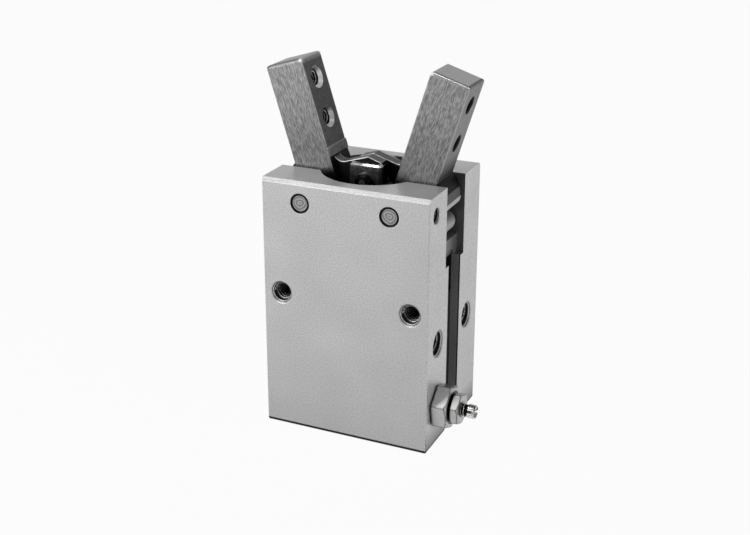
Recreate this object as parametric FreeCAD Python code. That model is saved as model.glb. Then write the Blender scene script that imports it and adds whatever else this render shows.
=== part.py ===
import FreeCAD, Part
import math
import os

# Pneumatic angular gripper. Millimetres and degrees.
# Origin: centre of the bottom face, on the axis of the locating recess. +Z up, -Y front.

# Block
BODY_WIDTH = 30.6
BODY_DEPTH = 23.6
BODY_HEIGHT = 45.8
BORE_DIA = 16.0
RECESS_DIA = 17.0
RECESS_DEPTH = 1.5
CHAMBER_DIA = 18.0
SLOT_WIDTH = 8.4
EDGE_CHAMFER = 0.65
EDGE_BREAK = 0.2

# Fingers and their pivots
PIVOT_PITCH = 16.3
PIVOT_DROP = 3.8
PIVOT_DIA = 3.0
OPEN_ANGLE = 17.5
CLOSED_ANGLE = -5.0
FINGER_LENGTH = 22.8
FINGER_THICKNESS = 7.1
FINGER_INNER = 3.42
FINGER_OUTER = 3.66
HUB_RADIUS = 5.6
ARM_THICKNESS = 2.1
JOINT_PIN_DIA = 3.0
TIP_ROUNDING = 0.6
BAR_ROUNDING = 0.2

# Threads and ports
SIDE_THREAD_PITCH = 24.0
SIDE_THREAD_HEIGHT = 25.3
BASE_THREAD_PITCH = 22.0
M3_CORE = 2.5
M4_CORE = 3.3
BASE_THREAD_DEPTH = 7.0
PORT_OFFSET = 6.8
PORT_HEIGHT = 18.7
PORT_CORE = 4.2
PORT_DEPTH = 5.0
VALVE_HEIGHT = 7.3

# Clearances
SIDE_PLAY = 0.15
SLOT_PLAY = 0.15
ARM_PLAY = 0.1
RUNNING_FIT = 0.03
SEAL_FIT = 0.02
STOP_GAP = 0.1

# Levels and positions that follow from the sizes above
HALF_WIDTH = BODY_WIDTH / 2
HALF_DEPTH = BODY_DEPTH / 2
PIVOT_X = PIVOT_PITCH / 2
PIVOT_Z = BODY_HEIGHT - PIVOT_DROP
STROKE = PIVOT_X * (math.tan(math.radians(OPEN_ANGLE)) - math.tan(math.radians(CLOSED_ANGLE)))
PIN_Z = PIVOT_Z + PIVOT_X * math.tan(math.radians(OPEN_ANGLE))
SLOT_FLOOR = PIVOT_Z - 7.1
CHAMBER_FLOOR = SLOT_FLOOR - 2.9
BORE_TOP = CHAMBER_FLOOR - 6.0
BUMPER_HEIGHT = 1.2
RING_THICKNESS = 1.0
CAP_BOTTOM = RECESS_DEPTH + RING_THICKNESS
CAP_TOP = 6.2
CAP_SEAT_RADIUS = BORE_DIA / 2 - 3.0
CAP_SEAT_DEPTH = 0.5
BOSS_WIDTH = SLOT_WIDTH - 2 * SIDE_PLAY
PISTON_TOP = BORE_TOP - BUMPER_HEIGHT - STOP_GAP
PISTON_BOTTOM = CAP_TOP + BUMPER_HEIGHT + STOP_GAP + STROKE
ROD_RADIUS = 3.0
ROD_SEAL_Z = (BORE_TOP + CHAMBER_FLOOR) / 2
PIN_HOLE_RADIUS = PIVOT_DIA / 2 + 0.01
PIN_RELIEF_WIDTH = 0.27
PIN_RELIEF_DEPTH = 0.6
SCREW_RADIUS = 1.25
SCREW_RIM = 0.3
SCREW_Y = -(SLOT_WIDTH / 2 + HALF_DEPTH) / 2 - 0.7
SCREW_Z = PIVOT_Z + 0.3

# Clevis on the rod
JOINT_HALF_WIDTH = 3.0
JOINT_HALF_DEPTH = 3.5
JOINT_TOP = PIN_Z + 3.1
JOINT_FLOOR = PIN_Z - 5.0
JOINT_BOTTOM = JOINT_FLOOR - 3.0
JOINT_GAP = 2 * (ARM_THICKNESS + 2 * ARM_PLAY)
SPIGOT_RADIUS = 2.0

# Flow control valve low on the right face
VALVE_Y = -PORT_OFFSET
VALVE_BORE_RADIUS = 2.5
VALVE_BORE_END = HALF_WIDTH - 6.0
VALVE_SHANK_END = HALF_WIDTH - 2.4
GASKET_THICKNESS = 0.3
VALVE_HEX_END = HALF_WIDTH + 2.95
LOCK_NUT_END = VALVE_HEX_END + 1.7
NEEDLE_END = LOCK_NUT_END + 2.5
NEEDLE_RADIUS = 1.25
PASSAGE_RADIUS = 0.75
PASSAGE_X = HALF_WIDTH - 4.3
BALL_RADIUS = 1.0
BALL_Z = 1.4
HEX_TURN = 40.0

Z_AXIS = FreeCAD.Vector(0, 0, 1)
Y_AXIS = FreeCAD.Vector(0, 1, 0)
X_AXIS = FreeCAD.Vector(1, 0, 0)


def point(x, y, z):
    return FreeCAD.Vector(x, y, z)


def block(x_ends, y_ends, z_ends):
    low = point(min(x_ends), min(y_ends), min(z_ends))
    sizes = [abs(ends[1] - ends[0]) for ends in (x_ends, y_ends, z_ends)]
    return Part.makeBox(*sizes, low)


def rod(radius, start, end):
    return Part.makeCylinder(radius, (end - start).Length, start, end - start)


def cone(start_radius, end_radius, start, end):
    return Part.makeCone(start_radius, end_radius, (end - start).Length, start, end - start)


def tapped_hole(core, mouth_dia, depth, mouth, inward):
    """Blind hole with a countersunk mouth and the cone a drill leaves."""
    radius = core / 2
    sink = (mouth_dia - core) / 2
    floor = mouth + inward * depth
    hole = rod(radius, mouth - inward, floor)
    hole = hole.fuse(cone(mouth_dia / 2, radius, mouth, mouth + inward * sink))
    return hole.fuse(cone(radius, 0, floor, floor + inward * (radius * 0.6)))


def turned(profile):
    """Solid of revolution about Z from (radius, height) points."""
    corners = [point(radius, 0, height) for radius, height in profile]
    face = Part.Face(Part.makePolygon(corners + corners[:1]))
    return face.revolve(point(0, 0, 0), Z_AXIS, 360)


def turned_on_valve(profile):
    """Solid of revolution about the valve's axis from (x, radius) points."""
    corners = [point(x, VALVE_Y, VALVE_HEIGHT + radius) for x, radius in profile]
    face = Part.Face(Part.makePolygon(corners + corners[:1]))
    return face.revolve(point(0, VALVE_Y, VALVE_HEIGHT), X_AXIS, 360)


def hexagon_on_valve(across_flats, x_ends):
    radius = across_flats / math.sqrt(3)
    turns = [math.radians(HEX_TURN + 60 * index) for index in range(7)]
    corners = [
        point(x_ends[0], VALVE_Y + radius * math.cos(turn), VALVE_HEIGHT + radius * math.sin(turn))
        for turn in turns
    ]
    return Part.Face(Part.makePolygon(corners)).extrude(X_AXIS * (x_ends[1] - x_ends[0]))


def o_ring(middle_radius, section_radius, height):
    return Part.makeTorus(middle_radius, section_radius, point(0, 0, height), Z_AXIS)


def edges_where(shape, test):
    return [edge for edge in shape.Edges if test(edge.CenterOfMass)]


def near(first, second):
    return abs(first - second) < 0.01


def body_blank():
    """Block with chamfered top and bottom edges and broken corners."""
    blank = block((-HALF_WIDTH, HALF_WIDTH), (-HALF_DEPTH, HALF_DEPTH), (0, BODY_HEIGHT))
    top = edges_where(blank, lambda at: near(at.z, BODY_HEIGHT) and near(at.x, 0))
    blank = blank.makeChamfer(EDGE_CHAMFER, top)
    base = edges_where(blank, lambda at: near(at.z, 0))
    corners = edges_where(blank, lambda at: near(abs(at.x), HALF_WIDTH) and near(abs(at.y), HALF_DEPTH))
    return blank.makeChamfer(EDGE_BREAK, base + corners)


def finger_space():
    """Slot for the fingers, round chamber, shallow steps and grooves of both side faces."""
    slot_sides = (-SLOT_WIDTH / 2, SLOT_WIDTH / 2)
    space = block((-BODY_WIDTH, BODY_WIDTH), slot_sides, (SLOT_FLOOR, BODY_HEIGHT + 1))
    space = space.fuse(rod(CHAMBER_DIA / 2, point(0, 0, CHAMBER_FLOOR), point(0, 0, BODY_HEIGHT + 1)))
    step_z = SLOT_FLOOR - 3.4
    groove_half = SLOT_WIDTH / 2 - 1.4
    pocket_z = step_z - 6.2
    for side in (1, -1):
        outside = side * (HALF_WIDTH + 1)
        step_x = side * (HALF_WIDTH - 1.35)
        space = space.fuse(block((step_x, outside), slot_sides, (step_z, SLOT_FLOOR + 1)))
        groove_x = side * (HALF_WIDTH - 1.8)
        space = space.fuse(block((groove_x, outside), (-groove_half, groove_half), (-1, step_z + 1)))
        run_out = [
            point(side * (HALF_WIDTH - 4.0), -groove_half, step_z),
            point(side * (HALF_WIDTH - 4.0), -groove_half, pocket_z + 2.2),
            point(groove_x, -groove_half, pocket_z),
            point(outside, -groove_half, pocket_z),
            point(outside, -groove_half, step_z),
        ]
        pocket = Part.Face(Part.makePolygon(run_out + run_out[:1]))
        space = space.fuse(pocket.extrude(Y_AXIS * (2 * groove_half)))
    return space


def cylinder_space():
    """Rod hole, rod seal groove, piston bore, cap seat and groove of the retaining ring."""
    profile = [
        (0, -1),
        (RECESS_DIA / 2, -1),
        (RECESS_DIA / 2, RECESS_DEPTH),
        (RECESS_DIA / 2 + 0.5, RECESS_DEPTH),
        (RECESS_DIA / 2 + 0.5, CAP_BOTTOM),
        (RECESS_DIA / 2, CAP_BOTTOM),
        (RECESS_DIA / 2, CAP_TOP),
        (BORE_DIA / 2, CAP_TOP),
        (BORE_DIA / 2, BORE_TOP),
        (ROD_RADIUS + RUNNING_FIT, BORE_TOP),
        (ROD_RADIUS + RUNNING_FIT, ROD_SEAL_Z - 1.1),
        (ROD_RADIUS + 2.0, ROD_SEAL_Z - 1.1),
        (ROD_RADIUS + 2.0, ROD_SEAL_Z + 1.1),
        (ROD_RADIUS + RUNNING_FIT, ROD_SEAL_Z + 1.1),
        (ROD_RADIUS + RUNNING_FIT, CHAMBER_FLOOR + 1),
        (0, CHAMBER_FLOOR + 1),
    ]
    return turned(profile)


def air_space():
    """Ports, valve bore and the drilled passages to both ends of the piston bore."""
    inward = X_AXIS * -1
    mouth_dia = PORT_CORE + 0.9
    rear_port = point(HALF_WIDTH, PORT_OFFSET, PORT_HEIGHT)
    front_port = point(HALF_WIDTH, -PORT_OFFSET, PORT_HEIGHT)
    space = tapped_hole(PORT_CORE, mouth_dia, PORT_DEPTH, rear_port, inward)
    space = space.fuse(tapped_hole(PORT_CORE, mouth_dia, PORT_DEPTH, front_port, inward))
    valve_mouth = point(HALF_WIDTH + 1, VALVE_Y, VALVE_HEIGHT)
    valve_floor = point(VALVE_BORE_END, VALVE_Y, VALVE_HEIGHT)
    space = space.fuse(rod(VALVE_BORE_RADIUS, valve_floor, valve_mouth))
    bore_edge = math.sqrt((BORE_DIA / 2) ** 2 - PORT_OFFSET ** 2)
    space = space.fuse(rod(PASSAGE_RADIUS, point(bore_edge - 1, VALVE_Y, VALVE_HEIGHT), valve_floor))
    feed_top = point(PASSAGE_X, VALVE_Y, PORT_HEIGHT)
    space = space.fuse(rod(PASSAGE_RADIUS, point(PASSAGE_X, VALVE_Y, BALL_Z), feed_top))
    ball_mouth = point(PASSAGE_X, VALVE_Y, -1)
    space = space.fuse(rod(BALL_RADIUS, ball_mouth, point(PASSAGE_X, VALVE_Y, BALL_Z + 1)))
    port_floor = point(HALF_WIDTH - PORT_DEPTH + 0.6, PORT_OFFSET, PORT_HEIGHT)
    bore_head = point(bore_edge - 0.6, PORT_OFFSET, BORE_TOP - 0.8)
    return space.fuse(rod(PASSAGE_RADIUS, port_floor, bore_head))


def cross_hole(radius, sink, x, z):
    """Hole from the front face to the rear face, countersunk at both ends."""
    front = point(x, -HALF_DEPTH, z)
    rear = point(x, HALF_DEPTH, z)
    hole = rod(radius, front, rear)
    front_sink = cone(radius + sink, radius, front, front + Y_AXIS * sink)
    rear_sink = cone(radius + sink, radius, rear, rear - Y_AXIS * sink)
    return hole.fuse([front_sink, rear_sink])


def pin_hole(x):
    """Hole from the front face to the rear face for a pivot pin, relieved round the pin's ends."""
    front = point(x, -HALF_DEPTH, PIVOT_Z)
    rear = point(x, HALF_DEPTH, PIVOT_Z)
    relief = PIN_HOLE_RADIUS + PIN_RELIEF_WIDTH
    deep = Y_AXIS * PIN_RELIEF_DEPTH
    hole = rod(PIN_HOLE_RADIUS, front, rear)
    return hole.fuse([rod(relief, front, front + deep), rod(relief, rear - deep, rear)])


def screw_space():
    """Pivot pin holes, set screw holes, cross threads and the threads in the bottom."""
    holes = []
    for side in (1, -1):
        holes.append(pin_hole(side * PIVOT_X))
        holes.append(cross_hole(M4_CORE / 2, 0.45, side * SIDE_THREAD_PITCH / 2, SIDE_THREAD_HEIGHT))
        screw_mouth = point(side * HALF_WIDTH, SCREW_Y, SCREW_Z)
        rim_end = screw_mouth - X_AXIS * (SCREW_RIM * side)
        holes.append(rod(SCREW_RADIUS, point(side * PIVOT_X, SCREW_Y, SCREW_Z), screw_mouth))
        holes.append(cone(SCREW_RADIUS + SCREW_RIM, SCREW_RADIUS, screw_mouth, rim_end))
        base_mouth = point(side * BASE_THREAD_PITCH / 2, 0, 0)
        holes.append(tapped_hole(M4_CORE, M4_CORE + 1.1, BASE_THREAD_DEPTH, base_mouth, Z_AXIS))
    return holes[0].fuse(holes[1:])


def make_body():
    body = body_blank()
    for space in (finger_space(), cylinder_space(), air_space(), screw_space()):
        body = body.cut(space)
    return body.removeSplitter()


def finger_arm():
    """Thin forked arm beside the middle plane, with a sloped tip and a fillet into the bar."""
    top = 3.85
    bottom = -3.4
    fillet = 2.0
    reach = PIVOT_X / math.cos(math.radians(OPEN_ANGLE)) + 3.3
    ridge = reach - 2.1
    slope = 2.1 * math.tan(math.radians(2 * OPEN_ANGLE))
    root = FINGER_INNER - 0.6
    middle = fillet * (1 - math.sqrt(0.5))
    corners = [
        point(-root, 0, top + fillet),
        point(-root, 0, bottom),
        point(-ridge, 0, bottom),
        point(-reach, 0, bottom + slope),
        point(-reach, 0, top - slope),
        point(-ridge, 0, top),
        point(-FINGER_INNER - fillet, 0, top),
    ]
    sides = [Part.makeLine(corners[index], corners[index + 1]) for index in range(len(corners) - 1)]
    fillet_top = point(-FINGER_INNER, 0, top + fillet)
    fillet_middle = point(-FINGER_INNER - middle, 0, top + middle)
    sides.append(Part.Arc(corners[-1], fillet_middle, fillet_top).toShape())
    sides.append(Part.makeLine(fillet_top, corners[0]))
    arm = Part.Face(Part.Wire(sides)).extrude(Y_AXIS * ARM_THICKNESS)
    half_slot = JOINT_PIN_DIA / 2 + SLOT_PLAY
    slot_end = PIVOT_X - 0.75
    slot = block((-reach - 1, -slot_end), (-1, ARM_THICKNESS + 1), (-half_slot, half_slot))
    slot = slot.fuse(rod(half_slot, point(-slot_end, -1, 0), point(-slot_end, ARM_THICKNESS + 1, 0)))
    arm = arm.cut(slot)
    arm.translate(point(0, ARM_PLAY, 0))
    return arm


def finger_bar():
    """Square bar with rounded long edges and a tip that is rounded over on all four sides."""
    half = FINGER_THICKNESS / 2
    bar = block((-FINGER_INNER, FINGER_OUTER), (-half, half), (0, FINGER_LENGTH))
    middle = bar.CenterOfMass
    across = bar.makeFillet(TIP_ROUNDING, tip_edges(bar, lambda edge: edge.CenterOfMass.y - middle.y))
    along = bar.makeFillet(TIP_ROUNDING, tip_edges(bar, lambda edge: edge.CenterOfMass.x - middle.x))
    long_edges = edges_where(bar, lambda at: near(at.z, FINGER_LENGTH / 2))
    return across.common(along).common(bar.makeFillet(BAR_ROUNDING, long_edges))


def tip_edges(bar, offset):
    """Two opposite edges of the bar's tip, those that lie off its middle in the given direction."""
    tip = edges_where(bar, lambda at: near(at.z, FINGER_LENGTH))
    return [edge for edge in tip if not near(offset(edge), 0)]


def make_finger():
    """Right finger about its pivot: bar, round hub with a heel, and the forked arm."""
    half = FINGER_THICKNESS / 2
    front = point(0, -half, 0)
    rear = point(0, half, 0)
    hub = rod(HUB_RADIUS, front, rear)
    shoulder = rod(HUB_RADIUS + 1.0, front, rear)
    shoulder = shoulder.common(block((0, 2 * HUB_RADIUS), (-half, half), (2.0, 2 * HUB_RADIUS)))
    heel_at = point(5.0, 0, -3.3)
    heel = rod(1.95, heel_at + front, heel_at + rear)
    lip = block((HUB_RADIUS - 1, HUB_RADIUS + 0.8), (-half, half), (1.0, 2.0))
    hub = hub.fuse([shoulder, heel, lip])
    boss = rod(PIVOT_DROP - 0.5, point(0, -BOSS_WIDTH / 2, 0), point(0, BOSS_WIDTH / 2, 0))
    hub = hub.fuse(boss)
    reach = 3 * HUB_RADIUS
    hub = hub.cut(block((-reach, -FINGER_INNER), (-BOSS_WIDTH, BOSS_WIDTH), (-reach, reach)))
    band = block((-FINGER_INNER - 0.12, -FINGER_INNER + 1), (-half, half), (5.3, 6.9))
    finger = hub.fuse([finger_bar(), band, finger_arm()])
    finger = finger.cut(rod(PIVOT_DIA / 2 + RUNNING_FIT, front * 2, rear * 2))
    for height in (FINGER_LENGTH - 4.0, FINGER_LENGTH - 11.0):
        inner = point(-FINGER_INNER, 0, height)
        outer = point(FINGER_OUTER, 0, height)
        hole = rod(M3_CORE / 2, inner - X_AXIS, outer + X_AXIS)
        hole = hole.fuse(cone(M3_CORE / 2 + 0.75, M3_CORE / 2, inner, inner + X_AXIS * 0.75))
        hole = hole.fuse(cone(M3_CORE / 2 + 0.45, M3_CORE / 2, outer, outer - X_AXIS * 0.45))
        finger = finger.cut(hole)
    return finger.removeSplitter()


def placed_finger(half_turn):
    """Finger at its pivot, open; a half turn about Z makes the left one."""
    finger = make_finger()
    finger.rotate(point(0, 0, 0), Y_AXIS, OPEN_ANGLE)
    finger.translate(point(PIVOT_X, 0, PIVOT_Z))
    finger.rotate(point(0, 0, 0), Z_AXIS, half_turn)
    return finger


def make_pivot_pin(side):
    half = HALF_DEPTH - 0.15
    x = side * PIVOT_X
    pin = rod(PIVOT_DIA / 2, point(x, -half, PIVOT_Z), point(x, half, PIVOT_Z))
    ends = edges_where(pin, lambda at: near(abs(at.y), half))
    return pin.makeChamfer(0.1, ends)


def make_set_screw(side):
    """Headless screw with a hexagon socket; its point bears on the pivot pin."""
    tip_x = PIVOT_X + PIVOT_DIA / 2
    head_x = tip_x + 3.0
    tip = point(side * tip_x, SCREW_Y, SCREW_Z)
    collar = point(side * (tip_x + 0.7), SCREW_Y, SCREW_Z)
    head = point(side * head_x, SCREW_Y, SCREW_Z)
    screw = cone(0.6, SCREW_RADIUS - SEAL_FIT, tip, collar).fuse(rod(SCREW_RADIUS - SEAL_FIT, collar, head))
    radius = 1.3 / math.sqrt(3)
    turns = [math.radians(60 * index) for index in range(7)]
    corners = [head + point(0, radius * math.cos(turn), radius * math.sin(turn)) for turn in turns]
    socket = Part.Face(Part.makePolygon(corners)).extrude(X_AXIS * (-1.3 * side))
    return screw.cut(socket).removeSplitter()


def make_piston():
    """Piston with three ring grooves, the rod and the spigot that carries the clevis."""
    radius = BORE_DIA / 2 - 0.1
    profile = [
        (0, PISTON_BOTTOM),
        (radius - 0.5, PISTON_BOTTOM),
        (radius, PISTON_BOTTOM + 0.5),
    ]
    for height, width, depth in piston_grooves():
        profile.append((radius, height))
        profile.append((radius - depth, height))
        profile.append((radius - depth, height + width))
        profile.append((radius, height + width))
    profile += [
        (radius, PISTON_TOP - 0.5),
        (radius - 0.5, PISTON_TOP),
        (ROD_RADIUS, PISTON_TOP),
        (ROD_RADIUS, JOINT_BOTTOM),
        (SPIGOT_RADIUS, JOINT_BOTTOM),
        (SPIGOT_RADIUS, JOINT_FLOOR - 0.3),
        (SPIGOT_RADIUS - 0.3, JOINT_FLOOR),
        (0, JOINT_FLOOR),
    ]
    return turned(profile)


def piston_grooves():
    """Lower edge, width and depth of the grooves for magnet, seal and wear ring."""
    pitch = (PISTON_TOP - PISTON_BOTTOM) / 3
    magnet = (PISTON_BOTTOM + 0.22 * pitch, 0.62 * pitch, 2.0)
    seal = (PISTON_BOTTOM + 1.25 * pitch, 0.5 * pitch, 1.9)
    wear = (PISTON_BOTTOM + 2.2 * pitch, 0.5 * pitch, 0.9)
    return magnet, seal, wear


def make_piston_ring(groove, bore_gap, lip):
    """Ring that fills a piston groove up to the given gap from the bore; lip bevels its rim."""
    height, width, depth = groove
    floor = BORE_DIA / 2 - 0.1 - depth
    rim = BORE_DIA / 2 - bore_gap
    profile = [
        (floor, height),
        (rim - lip, height),
        (rim, height + lip),
        (rim, height + width - lip),
        (rim - lip, height + width),
        (floor, height + width),
    ]
    return turned(profile)


def make_rod_seal():
    inner = ROD_RADIUS + SEAL_FIT
    outer = ROD_RADIUS + 2.0
    profile = [
        (inner, ROD_SEAL_Z - 0.5),
        (inner + 0.5, ROD_SEAL_Z - 1.1),
        (outer, ROD_SEAL_Z - 1.1),
        (outer, ROD_SEAL_Z + 1.1),
        (inner + 0.5, ROD_SEAL_Z + 1.1),
        (inner, ROD_SEAL_Z + 0.5),
    ]
    return turned(profile)


def make_rod_bumper():
    low = BORE_TOP - BUMPER_HEIGHT
    inner = ROD_RADIUS + 0.6
    outer = BORE_DIA / 2 - 1.7
    profile = [(inner, BORE_TOP), (inner, low), (outer - 0.3, low), (outer, low + 0.3), (outer, BORE_TOP)]
    return turned(profile)


def make_cap_bumper():
    low = CAP_TOP - CAP_SEAT_DEPTH
    top = CAP_TOP + BUMPER_HEIGHT
    radius = CAP_SEAT_RADIUS
    return turned([(0, low), (radius, low), (radius, top - 0.3), (radius - 0.3, top), (0, top)])


def make_joint():
    """Clevis: two cheeks beside the arms, cross hole, and a hole for the rod's spigot."""
    joint = block(
        (-JOINT_HALF_WIDTH, JOINT_HALF_WIDTH),
        (-JOINT_HALF_DEPTH, JOINT_HALF_DEPTH),
        (JOINT_BOTTOM, JOINT_TOP),
    )
    upright = edges_where(joint, lambda at: near(at.z, (JOINT_BOTTOM + JOINT_TOP) / 2))
    joint = joint.makeChamfer(0.4, upright)
    joint = joint.makeChamfer(0.3, edges_where(joint, lambda at: near(at.z, JOINT_TOP)))
    wide = 2 * JOINT_HALF_WIDTH
    deep = 2 * JOINT_HALF_DEPTH
    gap = block((-wide, wide), (-JOINT_GAP / 2, JOINT_GAP / 2), (JOINT_FLOOR, JOINT_TOP + 1))
    joint = joint.cut(gap)
    joint = joint.cut(rod(JOINT_PIN_DIA / 2, point(0, -deep, PIN_Z), point(0, deep, PIN_Z)))
    joint = joint.cut(rod(SPIGOT_RADIUS, point(0, 0, JOINT_BOTTOM - 1), point(0, 0, JOINT_FLOOR + 1)))
    return joint.removeSplitter()


def make_joint_pin():
    half = JOINT_HALF_DEPTH + 1.2
    pin = rod(JOINT_PIN_DIA / 2, point(0, -half, PIN_Z), point(0, half, PIN_Z))
    return pin.makeChamfer(0.4, edges_where(pin, lambda at: near(abs(at.y), half)))


def make_end_cap():
    """Disc that closes the bore, with a gasket groove and a seat for the bumper."""
    radius = RECESS_DIA / 2 - 0.02
    groove_low = (CAP_BOTTOM + CAP_TOP) / 2 - 0.65
    profile = [
        (0, CAP_BOTTOM + 0.8),
        (CAP_SEAT_RADIUS - 1.0, CAP_BOTTOM + 0.8),
        (CAP_SEAT_RADIUS - 0.2, CAP_BOTTOM),
        (radius - 0.3, CAP_BOTTOM),
        (radius, CAP_BOTTOM + 0.3),
        (radius, groove_low),
        (radius - 1.15, groove_low),
        (radius - 1.15, groove_low + 1.3),
        (radius, groove_low + 1.3),
        (radius, CAP_TOP),
        (CAP_SEAT_RADIUS, CAP_TOP),
        (CAP_SEAT_RADIUS, CAP_TOP - CAP_SEAT_DEPTH),
        (0, CAP_TOP - CAP_SEAT_DEPTH),
    ]
    return turned(profile)


def make_cap_gasket():
    section = 0.575
    return o_ring(RECESS_DIA / 2 - 0.01 - section, section, (CAP_BOTTOM + CAP_TOP) / 2)


def make_retaining_ring():
    """Open spring ring with two eyes for pliers."""
    outer = RECESS_DIA / 2 + 0.48
    low = point(0, 0, RECESS_DEPTH)
    high = point(0, 0, CAP_BOTTOM)
    ring = rod(outer, low, high).cut(rod(outer - 1.4, low - Z_AXIS, high + Z_AXIS))
    for side in (1, -1):
        eye_at = point(side * 2.6, outer - 2.4, 0)
        ring = ring.fuse(rod(1.25, eye_at + low, eye_at + high))
        ring = ring.cut(rod(0.6, eye_at, eye_at + high + Z_AXIS))
    ring = ring.cut(block((-1.5, 1.5), (0, 2 * outer), (0, CAP_BOTTOM + 1)))
    return ring.removeSplitter()


def make_valve_body():
    """Hexagon head and threaded shank with the needle's hole; the head's rim is turned off."""
    rim = 3.45
    head = hexagon_on_valve(7.0, (HALF_WIDTH + GASKET_THICKNESS, VALVE_HEX_END))
    envelope = turned_on_valve([
        (HALF_WIDTH, 0),
        (HALF_WIDTH, 2 * rim),
        (VALVE_HEX_END - 0.4, rim + 0.7),
        (VALVE_HEX_END, rim),
        (VALVE_HEX_END, 0),
    ])
    shank_end = point(VALVE_SHANK_END, VALVE_Y, VALVE_HEIGHT)
    head_back = point(HALF_WIDTH + GASKET_THICKNESS, VALVE_Y, VALVE_HEIGHT)
    shank = rod(VALVE_BORE_RADIUS - SEAL_FIT, shank_end, head_back)
    valve = head.common(envelope).fuse(shank)
    hole_end = point(NEEDLE_END, VALVE_Y, VALVE_HEIGHT)
    return valve.cut(rod(NEEDLE_RADIUS + RUNNING_FIT, shank_end - X_AXIS, hole_end)).removeSplitter()


def make_valve_gasket():
    inner = VALVE_BORE_RADIUS
    outer = inner + 0.85
    face = HALF_WIDTH
    back = HALF_WIDTH + GASKET_THICKNESS
    return turned_on_valve([(face, inner), (face, outer), (back, outer), (back, inner)])


def needle_groove():
    """Start and width of the needle's O-ring groove."""
    return VALVE_SHANK_END + 0.9, 0.7


def make_needle():
    """Cone, thinned stem, O-ring groove, threaded stem and a slotted end."""
    groove, width = needle_groove()
    profile = [
        (VALVE_BORE_END - 0.4, 0),
        (VALVE_BORE_END - 0.4, 0.3),
        (VALVE_BORE_END + 1.6, 1.0),
        (VALVE_SHANK_END - 0.2, 1.0),
        (VALVE_SHANK_END, NEEDLE_RADIUS),
        (groove, NEEDLE_RADIUS),
        (groove, 0.72),
        (groove + width, 0.72),
        (groove + width, NEEDLE_RADIUS),
        (LOCK_NUT_END + 1.1, NEEDLE_RADIUS),
        (LOCK_NUT_END + 1.25, 1.1),
        (NEEDLE_END - 0.2, 1.1),
        (NEEDLE_END, 0.9),
        (NEEDLE_END, 0),
    ]
    needle = turned_on_valve(profile)
    slot = block(
        (NEEDLE_END - 1.2, NEEDLE_END + 1),
        (VALVE_Y - 2, VALVE_Y + 2),
        (VALVE_HEIGHT - 0.25, VALVE_HEIGHT + 0.25),
    )
    slot.rotate(point(0, VALVE_Y, VALVE_HEIGHT), X_AXIS, -18)
    return needle.cut(slot)


def make_needle_o_ring():
    groove, width = needle_groove()
    section = 0.27
    middle = point(groove + width / 2, VALVE_Y, VALVE_HEIGHT)
    return Part.makeTorus(NEEDLE_RADIUS + RUNNING_FIT - 0.01 - section, section, middle, X_AXIS)


def make_lock_nut():
    """Thin nut with a washer face towards the hexagon head."""
    rim = 2.45
    seat = VALVE_HEX_END + 0.25
    nut = hexagon_on_valve(5.0, (seat, LOCK_NUT_END))
    envelope = turned_on_valve([
        (seat, 0),
        (seat, rim),
        (seat + 0.25, rim + 0.5),
        (LOCK_NUT_END - 0.25, rim + 0.5),
        (LOCK_NUT_END, rim),
        (LOCK_NUT_END, 0),
    ])
    washer_face = turned_on_valve([(VALVE_HEX_END, 0), (VALVE_HEX_END, 2.2), (seat, 2.2), (seat, 0)])
    nut = nut.common(envelope).fuse(washer_face)
    hole_start = point(HALF_WIDTH, VALVE_Y, VALVE_HEIGHT)
    hole_end = point(NEEDLE_END, VALVE_Y, VALVE_HEIGHT)
    return nut.cut(rod(NEEDLE_RADIUS + RUNNING_FIT, hole_start, hole_end)).removeSplitter()


def make_passage_ball():
    return Part.makeSphere(BALL_RADIUS, point(PASSAGE_X, VALVE_Y, BALL_Z))


def all_nodes():
    magnet, seal, wear = piston_grooves()
    return {
        "body": make_body(),
        "left_finger": placed_finger(180),
        "right_finger": placed_finger(0),
        "left_pivot_pin": make_pivot_pin(-1),
        "right_pivot_pin": make_pivot_pin(1),
        "left_set_screw": make_set_screw(-1),
        "right_set_screw": make_set_screw(1),
        "piston": make_piston(),
        "piston_magnet": make_piston_ring(magnet, 0.12, 0.2),
        "piston_seal": make_piston_ring(seal, SEAL_FIT, 0.5),
        "wear_ring": make_piston_ring(wear, RUNNING_FIT, 0.15),
        "rod_seal": make_rod_seal(),
        "rod_bumper": make_rod_bumper(),
        "cap_bumper": make_cap_bumper(),
        "joint": make_joint(),
        "joint_pin": make_joint_pin(),
        "end_cap": make_end_cap(),
        "cap_gasket": make_cap_gasket(),
        "retaining_ring": make_retaining_ring(),
        "needle_valve_body": make_valve_body(),
        "needle_valve_gasket": make_valve_gasket(),
        "needle": make_needle(),
        "needle_o_ring": make_needle_o_ring(),
        "needle_lock_nut": make_lock_nut(),
        "passage_ball": make_passage_ball(),
    }


os.makedirs("parts", exist_ok=True)
for node, shape in all_nodes().items():
    shape.exportStep("parts/" + node + ".step")
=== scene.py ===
import math

import bpy
from mathutils import Matrix, Vector


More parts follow.
